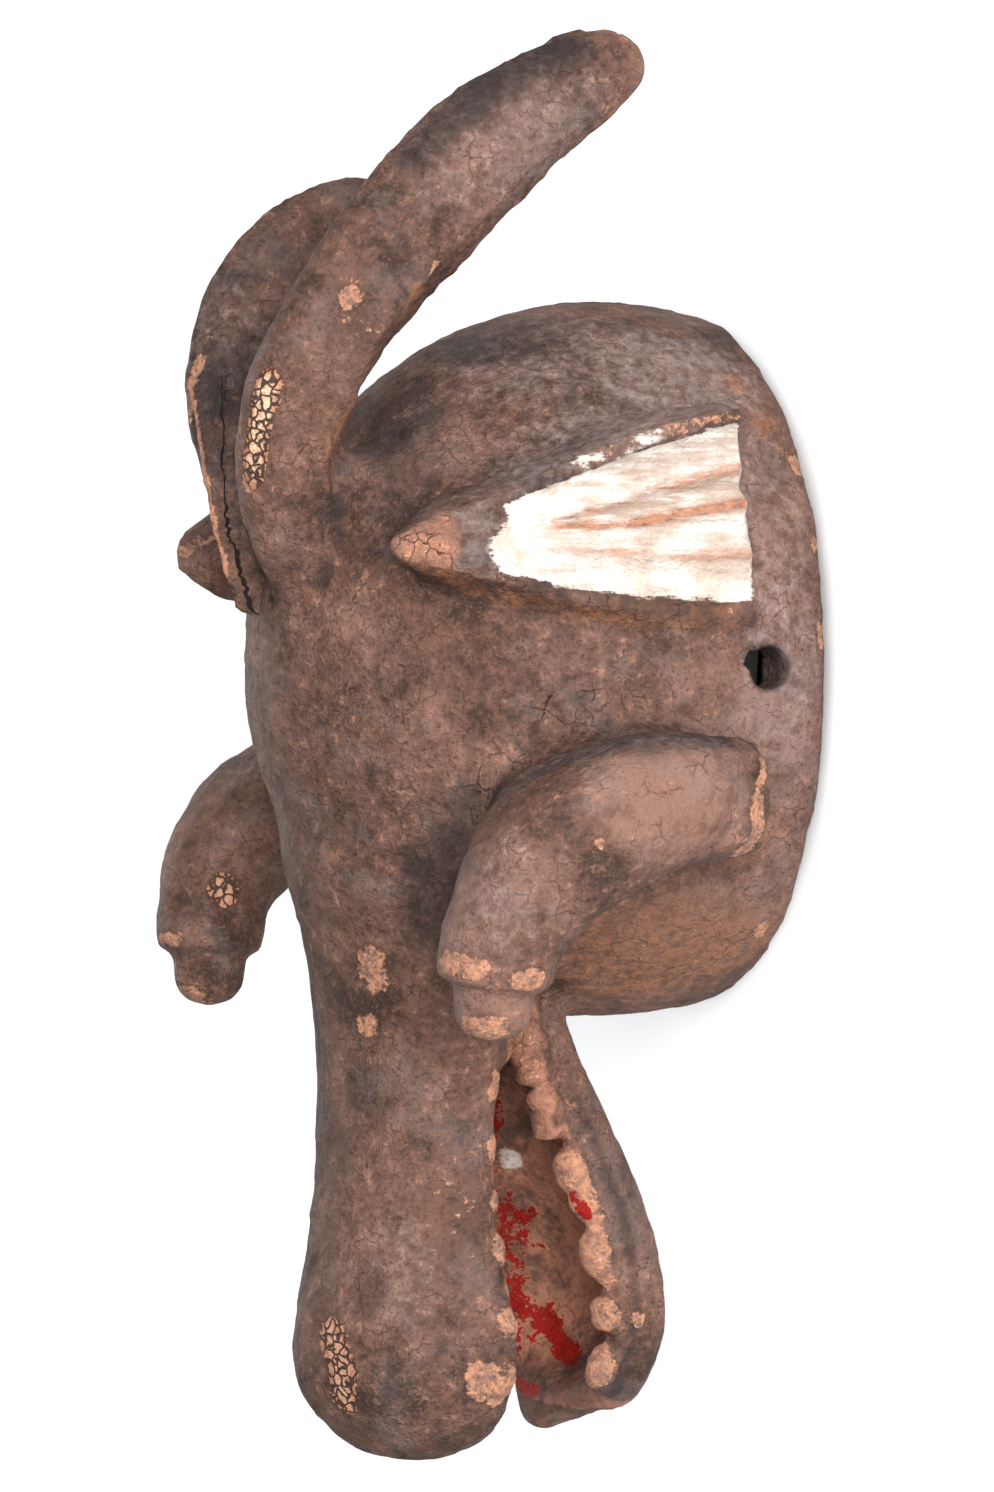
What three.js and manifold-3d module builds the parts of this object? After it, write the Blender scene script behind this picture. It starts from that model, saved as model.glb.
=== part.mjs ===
// A carved wooden helmet mask in one piece: a hollow oval helmet whose top runs forward into a
// long snout with open jaws, two horns swept back over the crown, two scooped ears and two eyes
// on bent stalks. Millimetres, +Z up, the snout pointing to -Y, resting on the helmet's rim.
// The origin is the middle of the bounding box's underside.
//
// The tables below give places as across (to the mask's own left), forward (towards the snout)
// and up from the rim, counted from a point near the middle of the rim.
import * as THREE from "three";
import { mergeVertices } from "three/addons/utils/BufferGeometryUtils.js";
import Module from "manifold-3d";

const wasm = await Module();
wasm.setup();

const HELMET = {
  halfLength: 129,
  halfWidth: 99,
  forward: 1,
  top: 174,
  waist: 40, // height of the widest ring
  tuck: 140, // lower half-axis, so that the wall draws in a little to the rim
  square: [1.02, 0.92], // behind and in front: below 1, how far the oval fills its corners
  sides: 32,
  rings: 12,
};
const HOLLOW = { wall: 14, crownWall: 26, square: 0.85, rings: 8, below: 20 };

// Costume holes, one through each side wall
const HOLE = { radius: 7.5, forward: 4, up: 27, sides: 12 };

// Each jaw: stations along it, then the exponents that square its end and its section (1 is
// round), and how thick the lip's own rounding is
const UPPER_JAW = {
  // forward, half width, ridge height, lip height
  rows: [
    [-70, 70, 166, 40],
    [-20, 92, 172.5, 34],
    [40, 90, 162.5, 36],
    [80, 71, 158, 58],
    [108, 55, 150.5, 80],
    [130, 45, 149, 93],
    [170, 40, 148, 97],
    [205, 42, 152, 96],
    [240, 47, 158, 92],
    [284, 46, 157, 90],
  ],
  rings: 26,
  tip: 38,
  blunt: 0.75,
  lipRound: 14,
  lipRise: 20, // how far the lip rises at the tip
  squareAbove: 0.95,
  squareBelow: 0.6,
};
const LOWER_JAW = {
  // forward, half width, lip height, underside height
  rows: [
    [70, 34, 100, 76],
    [120, 36, 88, 70],
    [160, 40, 75, 51],
    [200, 44, 61, 32],
    [235, 46, 54, 25],
    [275.5, 38, 62, 38],
  ],
  rings: 16,
  tip: 16,
  blunt: 0.22,
  lean: -8, // how much further forward the end lies on the left than in the middle
  lipRound: 8,
  squareAbove: 0.6,
  squareBelow: 0.9,
};
const JAW_SIDES = 22;
const JAW_SQUARE_ACROSS = 0.92;
const JAW_END_SHARE = 0.28; // share of the rings spent on the rounded end

// The hollow of the lower jaw
const TROUGH = {
  // forward, half width, floor height
  rows: [
    [122, 22, 84],
    [160, 27, 60],
    [200, 32, 44],
    [235, 34, 36],
    [266, 30, 40],
  ],
  rings: 12,
  sides: 12,
  aboveLip: 4,
  headroom: 6,
};

// Teeth: worn knobs along each lip, run together; lip is the lip height's place in a station
const LOWER_TEETH = { count: 9, from: 134, to: 254, inset: 6.5, rise: 2, half: [6, 9.5, 7], lip: 1 };
const UPPER_TEETH = { count: 9, from: 142, to: 254, inset: 12, rise: 7, half: [6, 8, 7.5], lip: 2 };

// Horns and stalks: the middle line, the half-axes of the section, and the web that joins it
// sideways to the head
const LEFT_HORN = [
  // across, forward, up, half breadth, half thickness, web
  [6, -8, 146, 16, 14, 0],
  [13, -36, 164, 18, 15, 0],
  [18, -58, 174, 19, 16, 0],
  [24, -78, 176, 20, 16, 0],
  [29, -97, 171, 21, 15.5, 0],
  [33, -119, 159, 22, 15, 0],
  [37, -144, 140, 24.5, 14, 0],
  [41, -177, 108, 25, 13, 0],
  [44, -193, 86, 20.5, 11, 0],
  [46, -211, 51, 16, 8, 0],
];
const RIGHT_HORN = [
  [-5, -10, 146, 16, 14, 0],
  [-11, -38, 160, 17, 14, 0],
  [-17, -62, 169, 19, 15, 0],
  [-24, -82, 171, 21, 16, 0],
  [-30, -101, 168, 22, 15, 0],
  [-34, -122, 160, 23, 14, 0],
  [-37, -140, 143, 23.5, 13, 0],
  [-39, -152, 121, 22, 12, 0],
  [-40, -158, 98, 17, 9, 0],
];
const HORN_SHAPE = { rings: 19, sides: 12, endRings: 0.25, endLength: 0.1, blunt: 0.75 };

const LEFT_STALK = [
  [112, 49, 51, 20.8, 19, 30],
  [116, 48, 67, 23, 21, 32],
  [120, 51, 89, 24.5, 22, 38],
  [119, 61, 111, 24.5, 22, 34],
  [115, 77, 130, 23, 21, 12],
  [110, 94, 139, 21, 20, 0],
  [108, 111, 141, 20, 20, 0],
];
const RIGHT_STALK = [
  [-113, 49, 55, 20.8, 19, 30],
  [-118, 48, 71, 23, 21, 32],
  [-124, 50, 94, 24.5, 22, 38],
  [-123, 60, 118, 24.5, 22, 34],
  [-116, 77, 136, 23, 21, 12],
  [-110, 94, 143, 21, 20, 0],
  [-108, 111, 145, 20, 20, 0],
];
const STALK_SHAPE = { rings: 18, sides: 14, endRings: 0.12, endLength: 0.03, blunt: 1 };
const PUPIL = { radius: 13.5, length: 18, root: 8 };
const PUPIL_SHAPE = { rings: 5, sides: 12, endRings: 0.6, endLength: 0.4, blunt: 0.8 };

// Ears: a wedge from its wide end near the rim up to a free tip
const LEFT_EAR = [
  // up, across at the outer face, rear edge, front edge, depth to the inner face, flare of that face
  [40, 103, -87, -15, 22, 4],
  [74, 99.5, -79, -14, 26, 6],
  [96, 96, -71, -16, 30, 7],
  [117, 92.5, -62, -20, 36, 7],
  [138, 89.5, -52, -26, 38, 6],
  [155, 87, -47, -29, 22, 4],
  [164, 86, -44, -30, 12, 2],
  [169, 85, -40, -33, 5, 1],
];
const RIGHT_EAR = [
  ...LEFT_EAR.slice(0, 4),
  [138, 89.5, -58, -21, 38, 5],
  [155, 87, -54, -20, 22, 3],
  [165, 86, -48, -24, 12, 2],
  [171, 85, -43, -30, 5, 1],
];
const EAR_SHAPE = {
  across: 16,
  along: 8,
  drop: 0.25, // how far the inner face hangs below the outer one, as a share of the depth
  edge: 4, // how far the rounded front edge falls away
};
// The flutes lie between two shares of the ear's width; the second one runs in towards the tip
const FLUTES = {
  count: 4,
  from: 0.12,
  to: [0.9, 0.72],
  foot: 40,
  top: 143,
  fade: 65, // over how much height they sink to their full depth
  shoulder: 1.5,
  deep: 3.5,
};

const point = (across, forward, up) => new THREE.Vector3(across, -forward, up);
const power = (value, exponent) => Math.sign(value) * Math.abs(value) ** exponent;

// The closed solid of a geometry, with its shared corners merged and its faces pointing out
function solid(geometry) {
  const bare = geometry.clone();
  bare.deleteAttribute("normal");
  bare.deleteAttribute("uv");
  const merged = mergeVertices(bare, 1e-4);
  const vertProperties = new Float32Array(merged.attributes.position.array);
  const corners = Array.from(merged.index.array);
  const made = (order) =>
    new wasm.Manifold(new wasm.Mesh({ numProp: 3, vertProperties, triVerts: new Uint32Array(order) }));
  const first = made(corners);
  return first.volume() > 0 ? first : made(corners.reverse());
}

// The closed solid of a geometry whose every corner is moved to a place of its own
function reshaped(geometry, placeOf) {
  const corners = geometry.attributes.position;
  for (let i = 0; i < corners.count; i += 1) {
    const p = placeOf(corners.getX(i), corners.getY(i), corners.getZ(i));
    corners.setXYZ(i, p.x, p.y, p.z);
  }
  return solid(geometry);
}

// Smooth values between the rows of a station table, by their first column
function stations(rows) {
  const places = rows.map((row) => row[0]);
  const values = rows.flatMap((row) => row.slice(1));
  const curve = new THREE.CubicInterpolant(places, values, rows[0].length - 1);
  return (place) => Array.from(curve.evaluate(place));
}

// A closed form of rings: ring(share) gives a function of the angle and reach in that ring
function rings(count, sides, ring) {
  return reshaped(new THREE.CylinderGeometry(1, 1, 1, sides, count), (x, y, z) =>
    ring(0.5 - y)(Math.atan2(x, z), Math.hypot(x, z)),
  );
}

// Where a ring lies along a form with a rounded end, and how far it has closed in
function rounded(share, endRings, endLength) {
  if (share <= 1 - endRings) return [(share / (1 - endRings)) * (1 - endLength), 1];
  const nearlyClosed = 0.94;
  const turn = ((share - 1 + endRings) / endRings) * nearlyClosed * (Math.PI / 2);
  return [1 - endLength + endLength * Math.sin(turn), Math.cos(turn)];
}

// A profile of unit radius turned about the upright axis and stretched to the helmet's oval
function oval(profile, halfWidth, halfLength) {
  const geometry = new THREE.LatheGeometry(
    profile.map(([r, z]) => new THREE.Vector2(r, z)),
    HELMET.sides,
  );
  geometry.rotateX(Math.PI / 2);
  return reshaped(geometry, (x, y, z) => {
    const square = HELMET.square[y > 0 ? 0 : 1];
    const reach = Math.max(Math.hypot(x, y), 1e-6);
    const [across, forward] = [x, -y].map((v) => reach * power(v / reach, square));
    return point(across * halfWidth, forward * halfLength + HELMET.forward, z);
  });
}

const tuckedIn = (drop) => Math.sqrt(1 - (drop / HELMET.tuck) ** 2);

// Points of a quarter arc from the unit radius at the foot to the axis at the top
function dome(count, foot, top, square) {
  return Array.from({ length: count + 1 }, (_, i) => {
    const turn = (i / count) * (Math.PI / 2);
    return [i < count ? Math.cos(turn) ** square : 0, foot + (top - foot) * Math.sin(turn)];
  });
}

function helmetOutside() {
  const { waist, top } = HELMET;
  const profile = [[0, 0], [tuckedIn(waist), 0], [tuckedIn(waist / 2), waist / 2]];
  return oval([...profile, ...dome(HELMET.rings, waist, top, 1)], HELMET.halfWidth, HELMET.halfLength);
}

function helmetInside() {
  const { wall, crownWall, below, square } = HOLLOW;
  const profile = [[0, -below], [1, -below], ...dome(HOLLOW.rings, 0, HELMET.top - crownWall, square)];
  const rim = tuckedIn(HELMET.waist);
  return oval(profile, HELMET.halfWidth * rim - wall, HELMET.halfLength * rim - wall);
}

// One jaw: rings across the stations; heights(row, close) gives its top, middle and bottom
function jaw({ rows, rings: count, tip, blunt, lean = 0, squareAbove, squareBelow }, heights) {
  const along = stations(rows);
  const start = rows[0][0];
  const length = rows.at(-1)[0] - start;
  return rings(count, JAW_SIDES, (share) => {
    const [way, round] = rounded(share, JAW_END_SHARE, tip / length);
    const close = round ** blunt;
    const forward = start + way * length;
    const [halfWidth, ...levels] = along(forward);
    const { top, middle, bottom } = heights(levels, close);
    return (angle, reach) => {
      const rise = Math.sin(angle);
      const height = rise >= 0 ? top - middle : middle - bottom;
      const up = power(rise, rise >= 0 ? squareAbove : squareBelow) * height;
      const across = power(Math.cos(angle), JAW_SQUARE_ACROSS) * halfWidth;
      const slant = (lean * share ** 4 * across) / halfWidth;
      return point(across * reach * close, forward + slant, middle + up * reach * close);
    };
  });
}

const upperJaw = () =>
  jaw(UPPER_JAW, ([ridge, lip], close) => ({
    top: ridge,
    middle: lip + UPPER_JAW.lipRound + (1 - close) * UPPER_JAW.lipRise,
    bottom: lip,
  }));

const lowerJaw = () =>
  jaw(LOWER_JAW, ([lip, under]) => ({ top: lip, middle: lip - LOWER_JAW.lipRound, bottom: under }));

// The hollow of the lower jaw, open above and closed round below
function trough() {
  const along = stations(TROUGH.rows);
  const lipAlong = stations(LOWER_JAW.rows);
  const start = TROUGH.rows[0][0];
  const length = TROUGH.rows.at(-1)[0] - start;
  return rings(TROUGH.rings, TROUGH.sides, (share) => {
    const forward = start + share * length;
    const [halfWidth, floor] = along(forward);
    const close = Math.sqrt(Math.max(0.04, 1 - (2 * share - 1) ** 6));
    const top = lipAlong(forward)[1] + TROUGH.aboveLip;
    return (angle, reach) => {
      const rise = Math.sin(angle);
      const up = rise >= 0 ? rise * TROUGH.headroom : rise * (top - floor) * close;
      return point(Math.cos(angle) * halfWidth * close * reach, forward, top + up * reach);
    };
  });
}

// A row of knobs along both lips of a jaw
function teeth({ count, from, to, inset, rise, half, lip }, rows) {
  const along = stations(rows);
  const knobs = [];
  for (let i = 0; i < count; i += 1) {
    const forward = from + ((to - from) * i) / (count - 1);
    const row = along(forward);
    for (const side of [-1, 1]) {
      const knob = new THREE.SphereGeometry(1, 6, 4);
      knob.scale(...half);
      const place = point(side * (row[0] - inset), forward, row[lip] + rise);
      knob.translate(place.x, place.y, place.z);
      knobs.push(solid(knob));
    }
  }
  return wasm.Manifold.union(knobs);
}

// A limb swept along a middle line, with a rounded end
function limb(rows, { rings: count, sides, endRings, endLength, blunt }) {
  const path = new THREE.CatmullRomCurve3(rows.map((row) => point(...row)), false, "centripetal");
  const widths = stations(rows.map((row, i) => [i / (rows.length - 1), ...row.slice(3)]));
  const outward = new THREE.Vector3(Math.sign(rows[0][0]), 0, 0);
  return rings(count, sides, (share) => {
    const [way, round] = rounded(share, endRings, endLength);
    const close = round ** blunt;
    const centre = path.getPoint(way);
    const tangent = path.getTangent(way);
    const thin = outward.clone().addScaledVector(tangent, -outward.dot(tangent)).normalize();
    const broad = new THREE.Vector3().crossVectors(tangent, thin);
    const [halfBroad, halfThin, web] = widths(way);
    return (angle, reach) => {
      const lean = Math.cos(angle);
      const inwards = lean < -0.01 ? Math.max(0, web) : 0;
      return centre
        .clone()
        .addScaledVector(thin, (lean * halfThin - inwards) * reach * close)
        .addScaledVector(broad, Math.sin(angle) * halfBroad * reach * close);
    };
  });
}

const horn = (rows) => limb(rows, HORN_SHAPE);

function eye(rows) {
  const [across, forward, up] = rows.at(-1);
  const { radius, length, root } = PUPIL;
  const pupil = [-root, length].map((reach) => [across, forward + reach, up, radius, radius, 0]);
  return limb(rows, STALK_SHAPE).add(limb(pupil, PUPIL_SHAPE));
}

// A wedge whose outer face is scooped out in flutes that fan from the tip to the wide end
function ear(rows, side) {
  const along = stations(rows);
  const foot = rows[0][0];
  const height = rows.at(-1)[0] - foot;
  const block = new THREE.BoxGeometry(1, 1, 1, 1, EAR_SHAPE.across, EAR_SHAPE.along);
  return reshaped(block, (x, y, z) => {
    const inward = 0.5 - x;
    const over = 0.5 - y;
    const up = foot + height * (z + 0.5);
    const [outside, rear, front, depth, flare] = along(up);
    const hollow = inward === 0 ? faceDepth(over, up) : 0;
    return point(
      side * (outside - hollow - inward * depth),
      THREE.MathUtils.lerp(rear, front, over) + inward * flare * (2 * over - 1),
      up - inward * depth * EAR_SHAPE.drop,
    );
  });
}

// How far the ear's outer face lies inside its edges: flutes, then the rounded front edge
function faceDepth(over, up) {
  const { count, from, to, foot, top, fade, shoulder, deep } = FLUTES;
  const end = THREE.MathUtils.mapLinear(up, foot, top, ...to);
  if (over >= end) return EAR_SHAPE.edge * ((over - end) / (1 - end)) ** 2;
  if (over <= from) return 0;
  const strength = THREE.MathUtils.clamp((top - up) / fade, 0, 1);
  const phase = (((over - from) / (end - from)) * count) % 1;
  return strength * (shoulder + deep * (1 - (2 * phase - 1) ** 2));
}

function costumeHoles() {
  const drill = new THREE.CylinderGeometry(HOLE.radius, HOLE.radius, 4 * HELMET.halfWidth, HOLE.sides);
  drill.rotateZ(Math.PI / 2);
  const place = point(0, HOLE.forward, HOLE.up);
  drill.translate(place.x, place.y, place.z);
  return solid(drill);
}

// The shape moved so that the origin is the middle of its bounding box's underside
function centred(shape) {
  const { min, max } = shape.boundingBox();
  return shape.translate([-(min[0] + max[0]) / 2, -(min[1] + max[1]) / 2, -min[2]]);
}

function asMesh(shape, name, material) {
  const made = shape.getMesh();
  const geometry = new THREE.BufferGeometry();
  geometry.setAttribute("position", new THREE.BufferAttribute(made.vertProperties, 3));
  geometry.setIndex(new THREE.BufferAttribute(made.triVerts, 1));
  geometry.computeVertexNormals();
  const mesh = new THREE.Mesh(geometry, material);
  mesh.name = name;
  return mesh;
}

const body = helmetOutside()
  .add(upperJaw())
  .add(lowerJaw().subtract(trough()))
  .add(teeth(LOWER_TEETH, LOWER_JAW.rows))
  .add(teeth(UPPER_TEETH, UPPER_JAW.rows))
  .add(horn(LEFT_HORN))
  .add(horn(RIGHT_HORN))
  .add(ear(LEFT_EAR, 1))
  .add(ear(RIGHT_EAR, -1))
  .add(eye(LEFT_STALK))
  .add(eye(RIGHT_STALK))
  .subtract(helmetInside())
  .subtract(costumeHoles());

const carvedWood = new THREE.MeshStandardMaterial({ color: 0x6b5048, roughness: 0.85, metalness: 0 });
const group = new THREE.Group();
group.add(asMesh(centred(body), "mask", carvedWood));

export default group;
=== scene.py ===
"""A carved wooden helmet mask of a long-snouted horned animal: its carving, wear and finishes.

The solid gives the form. Its surface is remade finely here, the corners between its faces are worn
round, and the knife work, cracks, chips, crust and pigment are worked into that one skin.
"""
import logging
import math
from dataclasses import dataclass, field, fields, replace
from enum import Enum

import bmesh
import bpy
import numpy as np
from mathutils import Matrix, Vector, kdtree


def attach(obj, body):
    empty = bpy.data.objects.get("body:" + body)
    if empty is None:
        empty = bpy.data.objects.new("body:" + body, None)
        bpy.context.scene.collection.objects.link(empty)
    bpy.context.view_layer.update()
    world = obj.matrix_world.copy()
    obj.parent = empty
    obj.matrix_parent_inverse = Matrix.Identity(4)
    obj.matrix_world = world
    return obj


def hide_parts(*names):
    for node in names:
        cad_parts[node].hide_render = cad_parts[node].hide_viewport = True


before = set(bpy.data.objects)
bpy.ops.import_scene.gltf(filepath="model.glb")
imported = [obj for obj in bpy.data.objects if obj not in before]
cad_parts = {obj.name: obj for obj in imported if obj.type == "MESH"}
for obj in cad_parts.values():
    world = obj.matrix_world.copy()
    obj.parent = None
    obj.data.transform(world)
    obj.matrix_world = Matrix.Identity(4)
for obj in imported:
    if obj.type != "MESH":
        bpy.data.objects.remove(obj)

logging.basicConfig(level=logging.INFO, format="%(message)s")
log = logging.getLogger("mask")

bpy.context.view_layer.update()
NODE = "mask"
BODY = "root"

# The tables count in millimetres as across (to the mask's own left), forward (to the snout) and
# up from the middle of the rim, which lies at this place in the frame.
RIM_CENTRE = np.array([2.09, 32.83, 0.0])
TURN = np.array([1.0, -1.0, 1.0])
MM = 0.001

Triple = tuple[float, float, float]
Row = tuple[float, ...]
Table = tuple[Row, ...]
# Where a soft edge begins and where it is done
Edge = tuple[float, float]
Socket = bpy.types.NodeSocket
Feed = Socket | float | Row


def to_frame(place: Triple) -> Vector:
    """Turns a place in millimetres from the middle of the rim into metres in the frame.

    Args:
        place: across, forward and up.

    Returns:
        The place in the frame.
    """
    return Vector((np.array(place) * TURN + RIM_CENTRE) * MM)


def soft(value: np.ndarray, start: float, end: float) -> np.ndarray:
    """Rises smoothly from 0 where value is start to 1 where it is end.

    Args:
        value: any array.
        start: where the rise begins.
        end: where it is done; it may be the lower of the two.

    Returns:
        An array between 0 and 1.
    """
    share = np.clip((value - start) / (end - start), 0.0, 1.0)
    return share * share * (3.0 - 2.0 * share)


def placed(name: str, data: bpy.types.ID) -> bpy.types.Object:
    """Puts an object in the scene.

    Args:
        name: its name.
        data: its mesh, light or camera.

    Returns:
        The object.
    """
    made = bpy.data.objects.new(name, data)
    bpy.context.scene.collection.objects.link(made)
    return made


def triangles(piece: bpy.types.Object) -> int:
    """Counts the triangles of a piece."""
    return sum(len(face.vertices) - 2 for face in piece.data.polygons)


class Grain:
    """Smooth seeded noise between -1 and 1, in layers of halving size."""

    CELLS = 32
    FAR = 1000.0
    STAGGER = 7.3

    def __init__(self, seed: int) -> None:
        """Fills the lattice from the seed."""
        rng = np.random.default_rng(seed)
        self.lattice = rng.uniform(-1.0, 1.0, (self.CELLS,) * 3)

    def layer(self, at: np.ndarray, size: float) -> np.ndarray:
        """Reads one layer of noise.

        Args:
            at: places in millimetres.
            size: the size of its lumps in millimetres.

        Returns:
            One value per place.
        """
        place = at / size + self.FAR
        low = np.floor(place).astype(int)
        part = place - low
        part = part * part * (3.0 - 2.0 * part)
        total = np.zeros(len(at))
        for corner in range(8):
            step = np.array([corner & 1, corner >> 1 & 1, corner >> 2 & 1])
            cell = (low + step) % self.CELLS
            share = np.prod(np.where(step == 1, part, 1.0 - part), axis=1)
            total += share * self.lattice[cell[:, 0], cell[:, 1], cell[:, 2]]
        return total

    def layers(self, at: np.ndarray, size: float, count: int) -> np.ndarray:
        """Adds layers, each half the size and half the strength of the one before.

        Args:
            at: places in millimetres.
            size: the size of the first layer's lumps in millimetres.
            count: how many layers.

        Returns:
            One value per place.
        """
        total = np.zeros(len(at))
        for step in range(count):
            total += self.layer(at + self.STAGGER * step, size / 2**step) / 2**step
        return total


@dataclass(frozen=True)
class Spot:
    """A soft-edged place on the mask: its middle and how far it reaches along each direction."""

    middle: Triple
    reach: Triple
    strength: float = 1.0
    edge: float = 0.6

    def weight(self, at: np.ndarray) -> np.ndarray:
        """Gives the strength at the middle, falling to 0 at the reach.

        Args:
            at: places in millimetres.

        Returns:
            One weight per place.
        """
        gone = np.linalg.norm((at - np.array(self.middle)) / np.array(self.reach), axis=1)
        return self.strength * (1.0 - soft(gone, 1.0 - self.edge, 1.0))


@dataclass(frozen=True)
class Line:
    """A run of places, joined by straight stretches."""

    points: Table

    def nearest(self, at: np.ndarray) -> tuple[np.ndarray, np.ndarray, np.ndarray]:
        """Finds where along the line each place lies.

        Args:
            at: places in millimetres.

        Returns:
            How far along it is, counted in points, the step from the line to the place, and the
            line's direction there.
        """
        points = np.array(self.points)
        best = np.full(len(at), np.inf)
        share = np.zeros(len(at))
        step = np.zeros((len(at), 3))
        heading = np.zeros((len(at), 3))
        for index, (start, end) in enumerate(zip(points, points[1:])):
            run = end - start
            length = np.linalg.norm(run)
            way = np.clip((at - start) @ run / length**2, 0.0, 1.0)
            away = at - (start + way[:, None] * run)
            gone = np.linalg.norm(away, axis=1)
            closer = gone < best
            best = np.where(closer, gone, best)
            share = np.where(closer, index + way, share)
            step = np.where(closer[:, None], away, step)
            heading = np.where(closer[:, None], run / length, heading)
        return share, step, heading


@dataclass(frozen=True)
class Stroke:
    """A soft-edged mark along a line."""

    points: Table
    width: float
    strength: float = 1.0

    def weight(self, at: np.ndarray) -> np.ndarray:
        """Gives the strength on the line, falling to 0 at half the width from it."""
        gone = np.linalg.norm(Line(self.points).nearest(at)[1], axis=1)
        return self.strength * soft(gone, 0.5 * self.width, 0.1 * self.width)


Marks = tuple[Spot | Stroke, ...]


def spots(*rows: Row) -> Marks:
    """Makes spots of rows of middle, reach, strength and edge; the last two may be left out."""
    return tuple(Spot(row[:3], row[3:6], *row[6:]) for row in rows)


class Paint(Enum):
    """The finishes that lie over the crusted wood, each an attribute of the skin; some of them carry painted
    shade and painted warm bounce light.
    """

    KAOLIN = "kaolin"
    # Grey smears, and painted shade in the hollows of the ears' flutes
    SMEAR = "smear"
    RIDGE = "ridge"
    PALE = "pale"
    RED = "red"
    FLESH = "flesh"
    WORN = "worn"
    CRACKLE = "crackle"
    CRAZE = "craze"
    # Soot, and painted shade in the costume holes, the throat, the notches between the teeth and some creases
    SOOT = "soot"
    ASH = "ash"
    RAW = "raw"
    # Ochre, and painted warm bounce light on the helmet's lower front and the ears' front walls
    OCHRE = "ochre"
    # Painted shade in the hollows of the carving
    HOLLOW = "hollow"
    EDGE = "edge"
    CRACK = "crack"
    CRACK_SIDE = "crack_side"


class Skin:
    """The mask's surface as arrays, counted in millimetres from the middle of the rim."""

    EASE = 0.6

    def __init__(self, mesh: bpy.types.Mesh) -> None:
        """Reads the mesh.

        Args:
            mesh: a closed mesh in the frame's metres.
        """
        self.mesh = mesh
        self.count = len(mesh.vertices)
        flat = np.empty(self.count * 3)
        mesh.vertices.foreach_get("co", flat)
        self.at = (flat.reshape(-1, 3) / MM - RIM_CENTRE) * TURN
        ends = np.empty(len(mesh.edges) * 2, dtype=int)
        mesh.edges.foreach_get("vertices", ends)
        self.ends = ends.reshape(-1, 2)
        self.degree = np.bincount(self.ends.ravel(), minlength=self.count).clip(min=1)
        self.paint = {paint: np.zeros(self.count) for paint in Paint}
        self.normal = self.normals()

    def store(self) -> None:
        """Writes the places back to the mesh."""
        frame_at = (self.at * TURN + RIM_CENTRE) * MM
        self.mesh.vertices.foreach_set("co", frame_at.ravel())
        self.mesh.update()

    def normals(self) -> np.ndarray:
        """Finds the outward directions, after writing the places back.

        Returns:
            One direction per place.
        """
        self.store()
        flat = np.empty(self.count * 3)
        self.mesh.vertex_normals.foreach_get("vector", flat)
        return flat.reshape(-1, 3) * TURN

    def around(self, values: np.ndarray) -> np.ndarray:
        """Averages values over each place's neighbours.

        Args:
            values: one row per place.

        Returns:
            The averages, in the same shape.
        """
        table = values.reshape(self.count, -1)
        first, second = self.ends.T
        columns = []
        for column in table.T:
            total = np.bincount(first, column[second], self.count)
            total += np.bincount(second, column[first], self.count)
            columns.append(total / self.degree)
        return np.stack(columns, axis=1).reshape(values.shape)

    def smoothed(self, values: np.ndarray, rounds: int) -> np.ndarray:
        """Averages values over and over.

        Args:
            values: one row per place.
            rounds: how many times.

        Returns:
            The smoothed values.
        """
        for _ in range(rounds):
            values = 0.5 * values + 0.5 * self.around(values)
        return values

    def relax(self, weight: np.ndarray, rounds: int) -> None:
        """Wears the form round where weight is high.

        Args:
            weight: 0 keeps a place and 1 frees it.
            rounds: how many times.
        """
        for _ in range(rounds):
            self.at += (self.around(self.at) - self.at) * (self.EASE * weight)[:, None]
        self.normal = self.normals()

    def raise_by(self, height: np.ndarray) -> None:
        """Moves each place outwards by a height in millimetres, or inwards where it is negative."""
        self.at += self.normal * height[:, None]
        self.normal = self.normals()

    def lay(self, paint: Paint, amount: np.ndarray) -> None:
        """Lays a finish where it isn't yet as strong."""
        self.paint[paint] = np.maximum(self.paint[paint], amount)

    def dab(self, paint: Paint, marks: Marks) -> None:
        """Lays a finish at some marks."""
        for mark in marks:
            self.lay(paint, mark.weight(self.at))

    def finish(self) -> None:
        """Writes the places and the finishes to the mesh."""
        self.store()
        for paint, amount in self.paint.items():
            layer = self.mesh.attributes.new(paint.value, "FLOAT", "POINT")
            layer.data.foreach_set("value", amount.astype(np.float32))


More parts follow.
